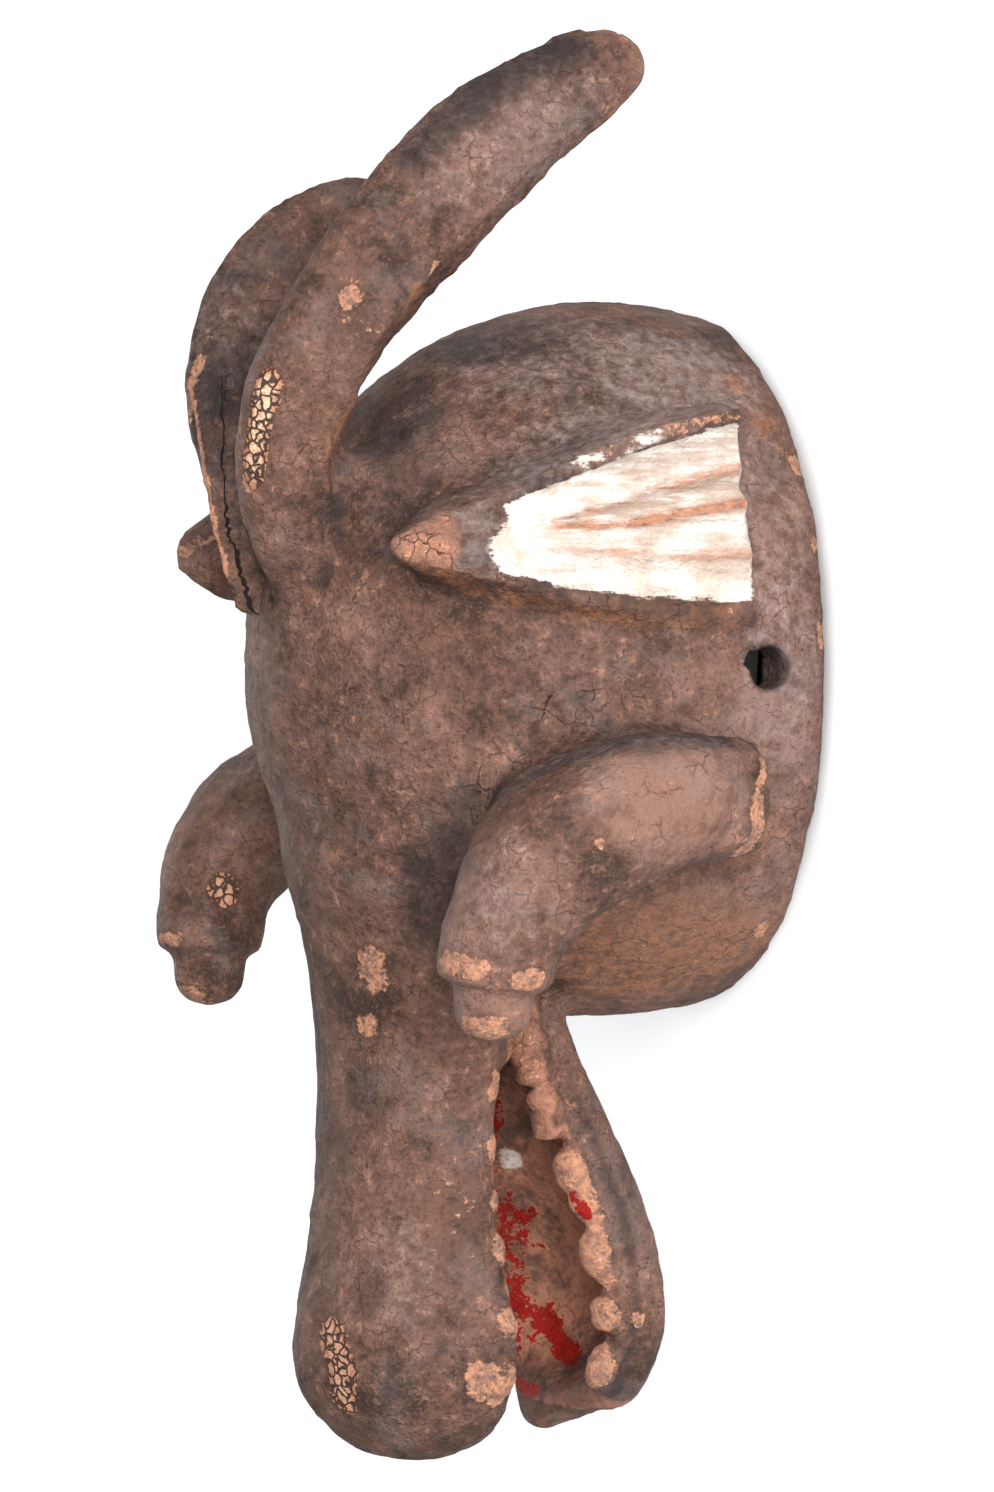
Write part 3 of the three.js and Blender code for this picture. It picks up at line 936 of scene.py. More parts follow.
@dataclass(frozen=True)
class Wear:
    """Where the finishes lie that belong to no single carving: chips, rubbed places and stains, with painted
    shade and painted warm bounce light among them.
    """

    worn: Marks = spots(
        (26, 107, 146, 11, 10, 9, 0.8), (28, 114, 143, 8, 5, 6, 0.7), (22, 128, 145, 8, 7, 8, 0.7),
        (46, 252, 112, 7, 11, 10, 0.9), (45, 258, 104, 7, 6, 7, 0.9), (48, -123, 162, 14, 7, 7, 1),
        (117, 124, 150, 17, 8, 14, 0.9), (128, 107, 138, 7, 6, 10, 0.85),
        (-109, 125, 152, 16, 7, 15, 0.8), (-106, 104, 162, 14, 5, 6, 0.7), (95, -8, 3, 5, 8, 5, 0.9),
        (92, -40, 3, 6, 9, 5, 0.8), (80, -68, 4, 7, 7, 6, 0.8), (67, 96, 12, 7, 6, 5, 0.8),
        (139, 62, 118, 4, 4, 4, 0.6), (45, 234, 49, 5, 5, 4, 0.85), (24, -60, 192, 5, 6, 5, 0.65),
        (140, 48, 92, 14, 26, 34, 0.16), (136, 84, 128, 14, 24, 24, 0.14),
        (48, -120, 160, 12, 40, 30, 0.26), (42, 190, 122, 14, 50, 22, 0.26),
        (96, 30, 30, 16, 40, 40, 0.16), (70, 100, 50, 44, 30, 50, 0.2), (60, -2, 140, 30, 40, 24, 0.16),
    ) + (
        Stroke(((48, -136, 131), (48, -130, 133)), 5),
        Stroke(((110, 101, 160), (119, 102, 159), (124, 103, 155)), 13, 0.9),
        Stroke(((129, 36, 50), (133, 44, 51)), 9, 0.75),
        Stroke(((134, 48, 52), (133, 58, 53), (130, 68, 57)), 12, 1.1),
        Stroke(((-80, -38, 168), (-76, -41, 165), (-72, -43, 161)), 8, 0.9),
        Stroke(((-27, -104, 186), (-26, -90, 192), (-24, -76, 193)), 9, 0.9),
        Stroke(((-24, -92, 191), (-19, -72, 190), (-15.5, -56, 189), (-13.5, -42, 187),
                (-11.5, -29, 184)), 7, 0.95),
        Stroke(((-12, -88, 185), (-11, -74, 186)), 4, 0.85),
    )
    pale: Marks = spots(
        (140, 46, 90, 28, 34, 48, 1.15), (122, 82, 140, 32, 40, 34, 0.62),
        (112, 118, 146, 34, 20, 28, 0.7), (45, -120, 150, 20, 50, 40, 0.2),
        (96, -55, 50, 44, 50, 70, 0.5), (96, 0, 20, 26, 90, 26, 0.28), (40, 215, 125, 22, 44, 28, 0.45),
        (60, 104, 50, 64, 40, 64, 0.45),
    )
    crackle: Marks = spots(
        (-91, 86, 147, 9, 10, 10, 0.9),
    ) + (
        Stroke(((36, -93, 190), (33, -78, 193), (28, -62, 193)), 17, 1.2),
        Stroke(((14, 236, 155), (19, 249, 154), (17, 259, 152)), 21, 0.92),
    )
    craze: Marks = spots(
        (88, 17, 102, 14, 16, 20, 0.8), (-104, 120, 146, 24, 16, 20, 0.6),
    ) + (
        Stroke(((68, 46, 128), (92, 34, 114), (114, 28, 96), (124, 27, 72)), 22, 0.7),
    )
    # Ochre lines and patches; the two broad marks low on the helmet's front are partly painted warm bounce
    # light
    ochre: Marks = spots(
        (62, 104, 50, 52, 36, 62, 0.8), (100, 66, 40, 30, 30, 40, 0.6), (62, -97, 20, 8, 8, 8, 0.9),
        (74, -82, 14, 7, 8, 9, 0.8), (33, 124, 92, 10, 14, 12, 0.6), (70, 10, 130, 34, 50, 34, 0.2),
    ) + (
        Stroke(((46, -126, 136), (42, -110, 141), (37, -88, 154), (38, -74, 166)), 13, 0.9),
        Stroke(((38, -74, 167), (32, -54, 166), (30, -40, 165)), 5, 0.9),
        # Down the ear's front wall: partly painted warm bounce light
        Stroke(((84, -30, 152), (76, -26, 131), (85, -21, 111), (93, -16, 85), (98, -15, 45)), 18, 1.1),
    )
    ash: Marks = spots(
        (47, -185, 110, 30, 50, 70, 0.4), (58, -98, 42, 34, 34, 46, 0.95),
        (38, -106, 84, 44, 44, 50, 0.5), (90, -50, 15, 18, 50, 20, 0.4), (126, 80, 146, 26, 34, 20, 0.35),
        (34, 214, 138, 20, 32, 24, 0.36), (86, -64, 80, 40, 50, 84, 0.85),
        (-28, -110, 178, 24, 44, 28, 0.5), (95, -2, 22, 20, 60, 26, 0.6),
    ) + (
        Stroke(((97, 45, 129), (104, 36, 115), (121, 29, 96), (124, 27, 70)), 24, 0.8),
    )
    raw: Marks = (
        Stroke(((85, -20, 111), (94, -17, 85), (99, -16, 48)), 14, 0.9),
    )
    # Soot. The mark at the costume hole (84, 4, 27) and the one in the valley between the stalk and the snout
    # (50, 84, 134) are painted shade.
    soot: Marks = spots(
        (-36, -120, 165, 30, 60, 50, 0.5), (27, -82, 135, 26, 30, 30, 0.9), (84, 4, 27, 13, 9, 9, 1.3),
        (4, 204, 151, 14, 60, 14, 0.35), (-32, -108, 172, 30, 50, 34, 0.25),
        (46, -105, 162, 14, 26, 18, 0.3), (20, -112, 95, 40, 20, 34, 0.75),
        (42, -64, 138, 22, 18, 18, 0.6), (50, 84, 134, 16, 26, 22, 0.8), (-21, -96, 178, 18, 34, 18, 0.8),
        (30, -28, 165, 7, 6, 8, 0.9), (-88, -30, 156, 16, 16, 12, 0.9), (17, 153, 145, 12, 16, 10, 0.7),
        (26, 219, 146, 9, 16, 10, 0.6), (18, 262, 142, 20, 16, 16, 0.5), (-20, 190, 150, 26, 90, 26, 0.5),
    ) + (
        # Painted shade down the ear's front wall, under the ear
        Stroke(((86, -20, 111), (95, -17, 85), (100, -16, 50)), 14, 0.6),
        Stroke(((37, -66, 166), (33, -52, 162), (32, -38, 161)), 10, 0.8),
        # Along the stalk's upper edge: soot, with painted shade in the crease where the stalk meets the head
        Stroke(((58, 60, 132), (70, 50, 129), (97, 45, 129), (104, 35, 113), (126, 29, 96), (124, 26, 70),
                (116, 28, 50)), 26, 0.8),
        Stroke(((46, -176, 136), (49, -192, 121), (49, -206, 99), (50, -213, 84)), 32, 1.25),
    )

    def colour(self, skin: Skin) -> None:
        """Lays every mark; each field bears the name of its finish."""
        for marks in fields(self):
            skin.dab(Paint(marks.name), getattr(self, marks.name))


class Recipe:
    """A material's nodes: each method adds one or a few and gives back their output."""

    def __init__(self, name: str, base: Feed = (0.0, 0.0, 0.0)) -> None:
        """Starts a material with only its shader and output.

        Args:
            name: the material's name.
            base: the colour that every coat goes over.
        """
        self.material = bpy.data.materials.new(name)
        self.material.use_nodes = True
        self.tree = self.material.node_tree
        self.tree.nodes.clear()
        self.shader = self.add("BsdfPrincipled", {})
        self.add("OutputMaterial", {"Surface": self.shader.outputs["BSDF"]})
        self.place = self.add("TexCoord", {}).outputs["Object"]
        self.colour = base

    def feed(self, socket: Socket, value: Feed) -> None:
        """Links an output to a socket, or sets the socket to a constant.

        Args:
            socket: the input.
            value: an output or a constant.
        """
        if isinstance(value, Socket):
            self.tree.links.new(value, socket)
        else:
            socket.default_value = value

    def add(self, kind: str, inputs: dict[str | int, Feed], **options: str | bool) -> bpy.types.Node:
        """Adds a node.

        Args:
            kind: what the node is.
            inputs: what its sockets are fed, by name or number.
            options: its settings.

        Returns:
            The node.
        """
        node = self.tree.nodes.new("ShaderNode" + kind)
        for name, option in options.items():
            setattr(node, name, option)
        for name, value in inputs.items():
            self.feed(node.inputs[name], value)
        return node

    def stretched(self, scale: Triple, middle: Triple = (0.0, 0.0, 0.0)) -> Socket:
        """Gives the step from a middle to the place, stretched along the frame's directions."""
        back = tuple(-m * k for m, k in zip(middle, scale))
        return self.add("Mapping", {"Vector": self.place, "Scale": scale, "Location": back}).outputs["Vector"]

    def warped(self, size: float, shift: float) -> Socket:
        """Moves the place about in waves.

        Args:
            size: about how long the waves are, in metres.
            shift: how far they move it, in metres.

        Returns:
            The moved place.
        """
        waves = self.add("TexNoise", {"Vector": self.place, "Scale": 1.0 / size}).outputs["Color"]
        terms = dict(enumerate((waves, (shift,) * 3, self.place)))
        return self.add("VectorMath", terms, operation="MULTIPLY_ADD").outputs["Vector"]

    def noise(self, size: float, detail: float = 4.0, rough: float = 0.6, warp: float = 0.0,
              place: Socket | None = None) -> Socket:
        """Adds noise.

        Args:
            size: about how large its lumps are, in metres.
            detail: how many finer layers it has.
            rough: how strong they are.
            warp: how far it is drawn out of shape.
            place: where it is read, if not at the place itself.

        Returns:
            The noise, around 0.5.
        """
        inputs = {"Vector": place or self.place, "Scale": 1.0 / size, "Detail": detail, "Roughness": rough}
        return self.add("TexNoise", {**inputs, "Distortion": warp}).outputs["Fac"]

    def cracks(self, size: float, place: Socket) -> Socket:
        """Adds the distance to the cracks between cells of about size metres."""
        inputs = {"Vector": place, "Scale": 1.0 / size}
        return self.add("TexVoronoi", inputs, feature="DISTANCE_TO_EDGE").outputs["Distance"]

    def paint(self, paint: Paint) -> Socket:
        """Reads a finish's amount from the skin."""
        return self.add("Attribute", {}, attribute_name=paint.value).outputs["Fac"]

    def sum(self, kind: str, first: Feed, second: Feed = 0.0, third: Feed = 0.0,
            clamp: bool = False) -> Socket:
        """Adds a Math node of a kind."""
        terms = dict(enumerate((first, second, third)))
        return self.add("Math", terms, operation=kind, use_clamp=clamp).outputs["Value"]

    def times(self, first: Feed, second: Feed, clamp: bool = False) -> Socket:
        """Multiplies two values."""
        return self.sum("MULTIPLY", first, second, clamp=clamp)

    def plus(self, base: Feed, value: Feed, share: float) -> Socket:
        """Adds a share of a value to a base."""
        return self.sum("MULTIPLY_ADD", value, share, base)

    def rise(self, value: Feed, start: float, end: float, low: float = 0.0, high: float = 1.0) -> Socket:
        """Rises smoothly from low where value is start to high where it is end."""
        inputs = {"Value": value, "From Min": start, "From Max": end, "To Min": low, "To Max": high}
        return self.add("MapRange", inputs, interpolation_type="SMOOTHSTEP").outputs["Result"]

    def blend(self, share: Feed, first: Feed, second: Feed) -> Socket:
        """Mixes two colours.

        Args:
            share: how much of the second shows.
            first: the one below.
            second: the one over it.

        Returns:
            The mix.
        """
        node = self.add("Mix", {"Factor": share}, data_type="RGBA")
        sockets = [socket for socket in node.inputs if socket.type == "RGBA"]
        for socket, value in zip(sockets, (first, second)):
            self.feed(socket, (*value, 1.0) if isinstance(value, tuple) else value)
        return next(socket for socket in node.outputs if socket.type == "RGBA")

    def coat(self, share: Feed, colour: Feed) -> None:
        """Lays a colour over the coats so far."""
        self.colour = self.blend(share, self.colour, colour)

    def ragged(self, paint: Paint, wobble: Socket, strength: float) -> Socket:
        """Moves the edge of a finish by a noise.

        Args:
            paint: the finish.
            wobble: the noise.
            strength: how far it moves the edge.

        Returns:
            The finish's amount; 0.5 is its edge.
        """
        amount = self.paint(paint)
        there = self.rise(amount, 0.0, 0.25, 0.0, 2.0 * strength)
        return self.sum("MULTIPLY_ADD", self.sum("SUBTRACT", wobble, 0.5), there, amount)


@dataclass(frozen=True)
class CrustedWood:
    """Old carved wood under a dry crust of dirt and soot, with what is left of its pigments, and with painted
    shade and painted warm bounce light.
    """

    dark: Triple = (0.042, 0.024, 0.019)
    middle: Triple = (0.118, 0.062, 0.046)
    light: Triple = (0.215, 0.118, 0.09)
    tan: Triple = (0.44, 0.21, 0.125)
    cream: Triple = (0.68, 0.45, 0.3)
    # Near black, for soot and for painted shade
    soot: Triple = (0.022, 0.018, 0.019)
    ash: Triple = (0.27, 0.225, 0.22)
    # Ochre, which also stands for painted warm bounce light
    ochre: Triple = (0.28, 0.118, 0.056)
    kaolin: Triple = (0.7, 0.65, 0.61)
    dull_clay: Triple = (0.52, 0.425, 0.36)
    grey_clay: Triple = (0.34, 0.26, 0.21)
    red: Triple = (0.25, 0.01, 0.006)
    stale: Triple = (0.1, 0.014, 0.01)
    flesh: Triple = (0.4, 0.185, 0.12)
    raw: Triple = (0.15, 0.092, 0.06)
    split: Triple = (0.012, 0.009, 0.008)
    smoothest: float = 0.56
    roughest: float = 0.86
    gloss: float = 0.14
    crust: float = 0.0019
    # Sizes of the noises and of the cells between cracks, in metres
    broad: float = 0.05
    cool: float = 0.03
    patch: float = 0.014
    fine: float = 0.0042
    grit: float = 0.0014
    gouge: float = 0.004
    streak: float = 0.003
    flake: float = 0.0036
    web: float = 0.0085

    def material(self) -> bpy.types.Material:
        """Builds the finish.

        Returns:
            The material.
        """
        wood = Recipe("crusted_wood", self.dark)
        broad = wood.noise(self.broad, 3.0, 0.6, 0.4)
        patchy = wood.noise(self.patch, 4.0, 0.65, 0.3)
        fine = wood.noise(self.fine, 4.0, 0.7)
        grit = wood.noise(self.grit, 3.0, 0.7)
        ragged = wood.plus(wood.times(patchy, 0.4), fine, 0.6)
        ragged = wood.plus(ragged, wood.sum("SUBTRACT", grit, 0.5), 0.35)
        mottle = wood.plus(wood.times(broad, 0.6), patchy, 0.6)
        mottle = wood.plus(mottle, fine, 0.45)
        self.crusted(wood, mottle, patchy, fine, grit)
        self.stained(wood, mottle, patchy, fine)
        worn = self.rubbed(wood, ragged, fine, grit)
        red = wood.rise(wood.ragged(Paint.RED, ragged, 1.7), 0.46, 0.58)
        wood.coat(red, wood.blend(wood.rise(mottle, 0.66, 0.86), self.stale, self.red))
        kaolin = self.clay(wood, ragged, patchy, fine, grit)
        flake = self.flaked(wood, ragged, grit)
        bare_crust = wood.sum("SUBTRACT", 1.0, wood.sum("MAXIMUM", kaolin, worn), clamp=True)
        open_wood = self.cracked(wood, bare_crust, patchy, fine)
        wood.feed(wood.shader.inputs["Base Color"], wood.colour)
        rough = wood.rise(grit, 0.3, 0.7, self.smoothest, self.roughest)
        wood.feed(wood.shader.inputs["Roughness"], rough)
        wood.feed(wood.shader.inputs["Specular IOR Level"], self.gloss)
        height = wood.plus(wood.times(fine, 0.9), grit, 0.45)
        layers = ((patchy, 0.6), (worn, -0.22), (flake, 0.35), (kaolin, 0.1), (open_wood, -0.6))
        for layer, share in layers:
            height = wood.plus(height, layer, share)
        bump = wood.add("Bump", {"Strength": 1.0, "Distance": self.crust, "Height": height})
        wood.feed(wood.shader.inputs["Normal"], bump.outputs["Normal"])
        return wood.material

    def crusted(self, wood: Recipe, mottle: Socket, patchy: Socket, fine: Socket, grit: Socket) -> None:
        """Lays the dry crust's own colours, mottled and flecked.

        Args:
            wood: the recipe.
            mottle: the noise of every size together.
            patchy: noise in patches.
            fine: finer noise.
            grit: the finest noise.
        """
        pale = wood.paint(Paint.PALE)
        mottle = wood.plus(mottle, pale, 0.2)
        cool = wood.noise(self.cool, 3.0, 0.6, 0.5)
        wood.coat(wood.rise(mottle, 0.66, 0.86), self.middle)
        wood.coat(wood.rise(mottle, 0.82, 1.04), self.light)
        wood.coat(wood.rise(cool, 0.5, 0.66, 0.0, 0.16), self.ash)
        wood.coat(wood.rise(cool, 0.45, 0.3, 0.0, 0.1), self.ochre)
        wood.coat(wood.rise(fine, 0.54, 0.72, 0.0, 0.36), self.light)
        wood.coat(wood.rise(grit, 0.54, 0.7, 0.0, 0.55), self.light)
        dots = wood.rise(grit, 0.47, 0.3, 0.0, 0.85)
        wood.coat(wood.times(dots, wood.rise(pale, 0.0, 1.0, 1.0, 0.3)), self.dark)
        fleck = wood.times(wood.rise(fine, 0.58, 0.68), wood.rise(patchy, 0.44, 0.58))
        wood.coat(wood.times(fleck, wood.rise(pale, 0.0, 1.0, 0.42, 0.75)), self.tan)
        edge = wood.times(wood.paint(Paint.EDGE), wood.rise(patchy, 0.42, 0.6))
        wood.coat(wood.times(edge, 0.3), self.tan)

    def stained(self, wood: Recipe, mottle: Socket, patchy: Socket, fine: Socket) -> None:
        """Lays the washes that let the crust show through, the painted warm bounce light in the ochre, and
        the painted shade of the hollows and with the soot.

        Args:
            wood: the recipe.
            mottle: the noise of every size together.
            patchy: noise in patches.
            fine: finer noise.
        """
        gouged = wood.noise(self.gouge, 3.0, 0.6, place=wood.stretched((1.0, 1.0, 0.15)))
        raw = wood.rise(wood.ragged(Paint.RAW, patchy, 0.3), 0.3, 0.7, 0.0, 0.9)
        wood.coat(raw, wood.blend(wood.rise(gouged, 0.35, 0.65), self.dark, self.raw))
        ash = wood.times(wood.rise(wood.ragged(Paint.ASH, fine, 0.6), 0.1, 1.0), 0.56)
        wood.coat(ash, wood.blend(wood.rise(fine, 0.3, 0.7), self.middle, self.ash))
        # The ochre coat, partly painted warm bounce light
        ochre = wood.times(wood.rise(wood.ragged(Paint.OCHRE, patchy, 0.5), 0.1, 1.0), 0.66)
        wood.coat(ochre, wood.blend(wood.rise(fine, 0.35, 0.6), self.middle, self.ochre))
        flesh = wood.rise(wood.ragged(Paint.FLESH, patchy, 0.2), 0.3, 0.6)
        wood.coat(flesh, wood.blend(wood.rise(mottle, 0.66, 0.9), self.middle, self.flesh))
        # Painted shade in the hollows, laid in the near-black soot colour
        wood.coat(wood.times(wood.paint(Paint.HOLLOW), 0.45), self.soot)
        # Soot, with the painted shade of the costume holes, the throat, the notches between the teeth and
        # some creases
        soot_and_shade_share = wood.times(wood.paint(Paint.SOOT), wood.rise(mottle, 1.1, 0.6, 0.6, 1.0), clamp=True)
        wood.coat(wood.times(soot_and_shade_share, 0.85), self.soot)

    def rubbed(self, wood: Recipe, ragged: Socket, fine: Socket, grit: Socket) -> Socket:
        """Bares the wood where the crust is worn off, inside a dark halo.

        Args:
            wood: the recipe.
            ragged: the noise that frays edges.
            fine: finer noise.
            grit: the finest noise.

        Returns:
            Where the wood is bare.
        """
        edge = wood.ragged(Paint.WORN, ragged, 1.1)
        worn = wood.times(wood.rise(edge, 0.36, 0.66), wood.rise(grit, 0.3, 0.54, 0.3, 0.95))
        halo = wood.sum("SUBTRACT", wood.rise(edge, 0.26, 0.4), worn, clamp=True)
        wood.coat(wood.times(halo, 0.5), self.dark)
        bare = wood.blend(wood.rise(fine, 0.36, 0.62), self.light, self.tan)
        wood.coat(worn, wood.blend(wood.rise(grit, 0.55, 0.75, 0.0, 0.6), bare, self.cream))
        return worn

    def clay(self, wood: Recipe, ragged: Socket, patchy: Socket, fine: Socket, grit: Socket) -> Socket:
        """Lays the streaky white clay.

        Args:
            wood: the recipe.
            ragged: the noise that frays edges.
            patchy: noise in patches.
            fine: finer noise.
            grit: the finest noise.

        Returns:
            Where the clay lies.
        """
        streak = wood.noise(self.streak, 4.0, 0.65, place=wood.stretched((1.0, 1.0, 0.1)))
        torn = wood.plus(wood.times(ragged, 0.5), streak, 0.5)
        there = wood.rise(wood.ragged(Paint.KAOLIN, torn, 1.1), 0.34, 0.62)
        tone = wood.blend(wood.rise(patchy, 0.36, 0.58), self.dull_clay, self.kaolin)
        tone = wood.blend(wood.rise(streak, 0.5, 0.68, 0.0, 0.45), tone, self.grey_clay)
        # Grey in the flutes, part smear and part painted shade
        smear = wood.times(wood.paint(Paint.SMEAR), wood.rise(streak, 0.3, 0.6))
        tone = wood.blend(smear, tone, self.grey_clay)
        ridge = wood.times(wood.paint(Paint.RIDGE), wood.rise(streak, 0.38, 0.56, 0.25, 1.0))
        tone = wood.blend(ridge, tone, wood.blend(wood.rise(fine, 0.3, 0.6), self.light, self.tan))
        wood.coat(there, wood.blend(wood.rise(grit, 0.6, 0.72, 0.0, 0.5), tone, self.tan))
        return there

    def flaked(self, wood: Recipe, ragged: Socket, grit: Socket) -> Socket:
        """Lays the pale flakes of old paint with dark gaps between them.

        Args:
            wood: the recipe.
            ragged: the noise that frays edges.
            grit: the finest noise.

        Returns:
            Where the flakes stand.
        """
        crackle = wood.rise(wood.ragged(Paint.CRACKLE, ragged, 0.9), 0.42, 0.58)
        cell = wood.cracks(self.flake, wood.warped(0.0034, 0.003))
        flake = wood.times(crackle, wood.rise(cell, 0.05, 0.15))
        wood.coat(wood.times(crackle, 0.8), self.dark)
        pale = wood.blend(wood.rise(wood.paint(Paint.CRACKLE), 0.8, 1.1), self.tan, self.cream)
        wood.coat(flake, wood.blend(wood.rise(grit, 0.4, 0.65, 0.0, 0.5), pale, self.light))
        return flake

    def cracked(self, wood: Recipe, bare_crust: Socket, patchy: Socket, fine: Socket) -> Socket:
        """Opens the net of hair cracks in the crust and the deep cracks of the wood.

        Args:
            wood: the recipe.
            bare_crust: where neither clay nor bare wood hides the crust.
            patchy: noise in patches.
            fine: finer noise.

        Returns:
            Where the wood is open.
        """
        web = wood.rise(wood.cracks(self.web, wood.warped(0.0055, 0.006)), 0.032, 0.01)
        hair = wood.times(wood.times(web, wood.rise(patchy, 0.48, 0.62, 0.0, 0.34)), bare_crust)
        wood.coat(hair, self.split)
        craze = wood.times(web, wood.rise(patchy, 0.42, 0.56))
        craze = wood.times(craze, wood.paint(Paint.CRAZE))
        side = wood.plus(wood.paint(Paint.CRACK_SIDE), wood.sum("SUBTRACT", fine, 0.5), 3.0)
        split = wood.rise(wood.sum("ABSOLUTE", side), 1.0, 0.45)
        split = wood.times(split, wood.rise(wood.paint(Paint.CRACK), 0.3, 0.6))
        split = wood.sum("MAXIMUM", split, wood.times(craze, 0.8))
        wood.coat(split, self.split)
        return wood.sum("MAXIMUM", split, hair)


LEFT_EAR_ROWS: Table = (
    (40, 103, -87, -15), (74, 99.5, -79, -14), (96, 96, -71, -16), (117, 92.5, -62, -20),
    (138, 89.5, -52, -26), (155, 87, -47, -29), (169, 85, -40, -33),
)
RIGHT_EAR_ROWS: Table = (
    *LEFT_EAR_ROWS[:4], (138, 89.5, -58, -21), (155, 87, -54, -20), (171, 85, -43, -30),
)
LEFT_HORN_ROWS: Table = (
    (6, -8, 146, 16, 14), (13, -36, 164, 18, 15), (18, -58, 174, 19, 16), (24, -78, 176, 20, 16),
    (29, -97, 171, 21, 15.5), (33, -119, 159, 22, 15), (37, -144, 140, 24.5, 14), (41, -177, 108, 25, 13),
    (44, -193, 86, 20.5, 11), (46, -211, 51, 16, 8),
)
RIGHT_HORN_ROWS: Table = (
    (-5, -10, 146, 16, 14), (-11, -38, 160, 17, 14), (-17, -62, 169, 19, 15), (-24, -82, 171, 21, 16),
    (-30, -101, 168, 22, 15), (-34, -122, 160, 23, 14), (-37, -140, 143, 23.5, 13),
    (-39, -152, 121, 22, 12), (-40, -158, 98, 17, 9),
)


@dataclass
class Mask:
    """The whole carving: one piece of wood, shaped, worn and painted."""

    blank: Blank = field(default_factory=Blank)
    ears: tuple[Ear, Ear] = (Ear(1, LEFT_EAR_ROWS), Ear(-1, RIGHT_EAR_ROWS))
    horns: tuple[Horn, Horn] = (
        Horn(1, LEFT_HORN_ROWS, (Facet(8, 0.68, 3.5, 9), Facet(-66, 0.8, 4.5, 9),
                                 Facet(66, 0.8, 6.4, 8.6), Facet(180, 0.78, 4.5, 9))),
        Horn(-1, RIGHT_HORN_ROWS, (Facet(168, 0.78, 3.5, 8), Facet(20, 0.82, 4, 8),
                                   Facet(110, 0.84, 3, 6.5))),
    )
    jaws: Jaws = field(default_factory=Jaws)
    surface: Surface = field(default_factory=Surface)
    wear: Wear = field(default_factory=Wear)
    seed: int = 5
    ear_hold: float = 0.9
    calm: float = 0.65
    # The hollow's half sizes, and how far forward its middle lies
    hollow: Triple = (81.0, 110.0, 148.0)
    hollow_middle: float = 1.0
    # How far forward and up the costume holes lie
    bore: tuple[float, float] = (4.0, 27.0)
    bore_edge: Edge = (9.0, 8.0)
    # Where the form stays as crisp as the solid: cut ends, eyes, teeth and holes
    crisp: Marks = spots(
        (118, 49, 50, 36, 34, 12, 0.93, 0.2), (-119, 49, 54, 36, 34, 12, 0.93, 0.2),
        (112, 114, 146, 34, 20, 34, 0.9, 0.2), (-112, 114, 150, 34, 20, 34, 0.9, 0.2),
        (46, -206, 62, 34, 34, 50, 0.9, 0.5), (-40, -155, 104, 30, 26, 34, 0.85, 0.5),
        (38, 190, 74, 14, 70, 30, 0.8, 0.3), (-38, 190, 74, 14, 70, 30, 0.8, 0.3),
        (92, 4, 27, 24, 14, 14, 1, 0.3), (-92, 4, 27, 24, 14, 14, 1, 0.3),
    )
    corners: tuple[Lump, ...] = lumps(
        (127, 34, 54, 12, 11, 14, 2.6), (129, 62, 56, 11, 11, 14, 2.6), (-128, 34, 58, 12, 11, 14, 2.6),
        (-130, 62, 60, 11, 11, 14, 2.6),
    )
    cuts: tuple[Flat, ...] = (
        Flat(Spot((118, 49, 50), (34, 32, 12), edge=0.2), (112, 49, 50.5), (-0.24, 0.06, -0.97)),
        Flat(Spot((-119, 49, 54), (34, 32, 12), edge=0.2), (-113, 49, 54.5), (0.24, 0.06, -0.97)),
    )
    swellings: tuple[Lump, ...] = (
        Lump(Spot((94, 0, 36), (12, 5, 5), edge=0.3), -2.5),
        Lump(Spot((47, -214, 62), (24, 22, 34)), 2.5),
        Lump(Stroke(((38, -74, 167), (32, -54, 166), (30, -40, 165)), 7), 1.6),
        Lump(Stroke(((41, -72, 161), (36, -54, 160), (35, -40, 160)), 8), -1.8),
    )
    blade: Crest = Crest((
        (-24, -92, 190.5, 4),
        (-19, -72, 190, 3.6),
        (-15.5, -56, 188.6, 3.2),
        (-13.5, -42, 187, 2.8),
        (-11.5, -29, 184, 2.3),
        (-10.5, -17, 180, 1.4),
    ))
    cracks: tuple[Crack, ...] = (
        Crack(((-14, -100, 180), (-15, -94, 184), (-12, -83, 185), (-10, -66, 186),
               (-10, -54, 185), (-9, -42, 182.5), (-7.5, -29, 179), (-7, -18, 176.5),
               (-7, -8, 174))),
        Crack(((-15, -94, 184), (-9, -97, 180), (-4, -96, 176)), depth=0.7),
    )

    def build(self) -> bpy.types.Object:
        """Makes the carving in place of the solid.

        Returns:
            The finished object.
        """
        carving = self.blank.remade()
        skin = Skin(carving.data)
        log.info("remade with %d places", skin.count)
        grain = Grain(self.seed)
        faces = np.zeros(skin.count)
        for ear in self.ears:
            faces = np.maximum(faces, ear.grid(skin)[2])
        crisp = self.ear_hold * faces
        for spot in self.crisp:
            crisp = np.maximum(crisp, spot.weight(skin.at))
        self.blank.wear_round(skin, crisp)
        self.shape(skin)
        self.surface.roughen(skin, grain, self.calm * np.maximum(faces, crisp))
        self.surface.chip_edges(skin, grain)
        for crack in self.cracks:
            crack.work(skin)
        self.surface.weather(skin)
        skin.at[:, 2] = np.maximum(skin.at[:, 2], 0.0)
        self.dress(skin, grain)
        skin.finish()
        carving = self.blank.thinned(carving, self.spare(skin))
        carving.data.shade_smooth()
        carving.data.materials.clear()
        carving.data.materials.append(CrustedWood().material())
        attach(carving, BODY)
        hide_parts(NODE)
        log.info("carving has %d triangles", triangles(carving))
        return carving

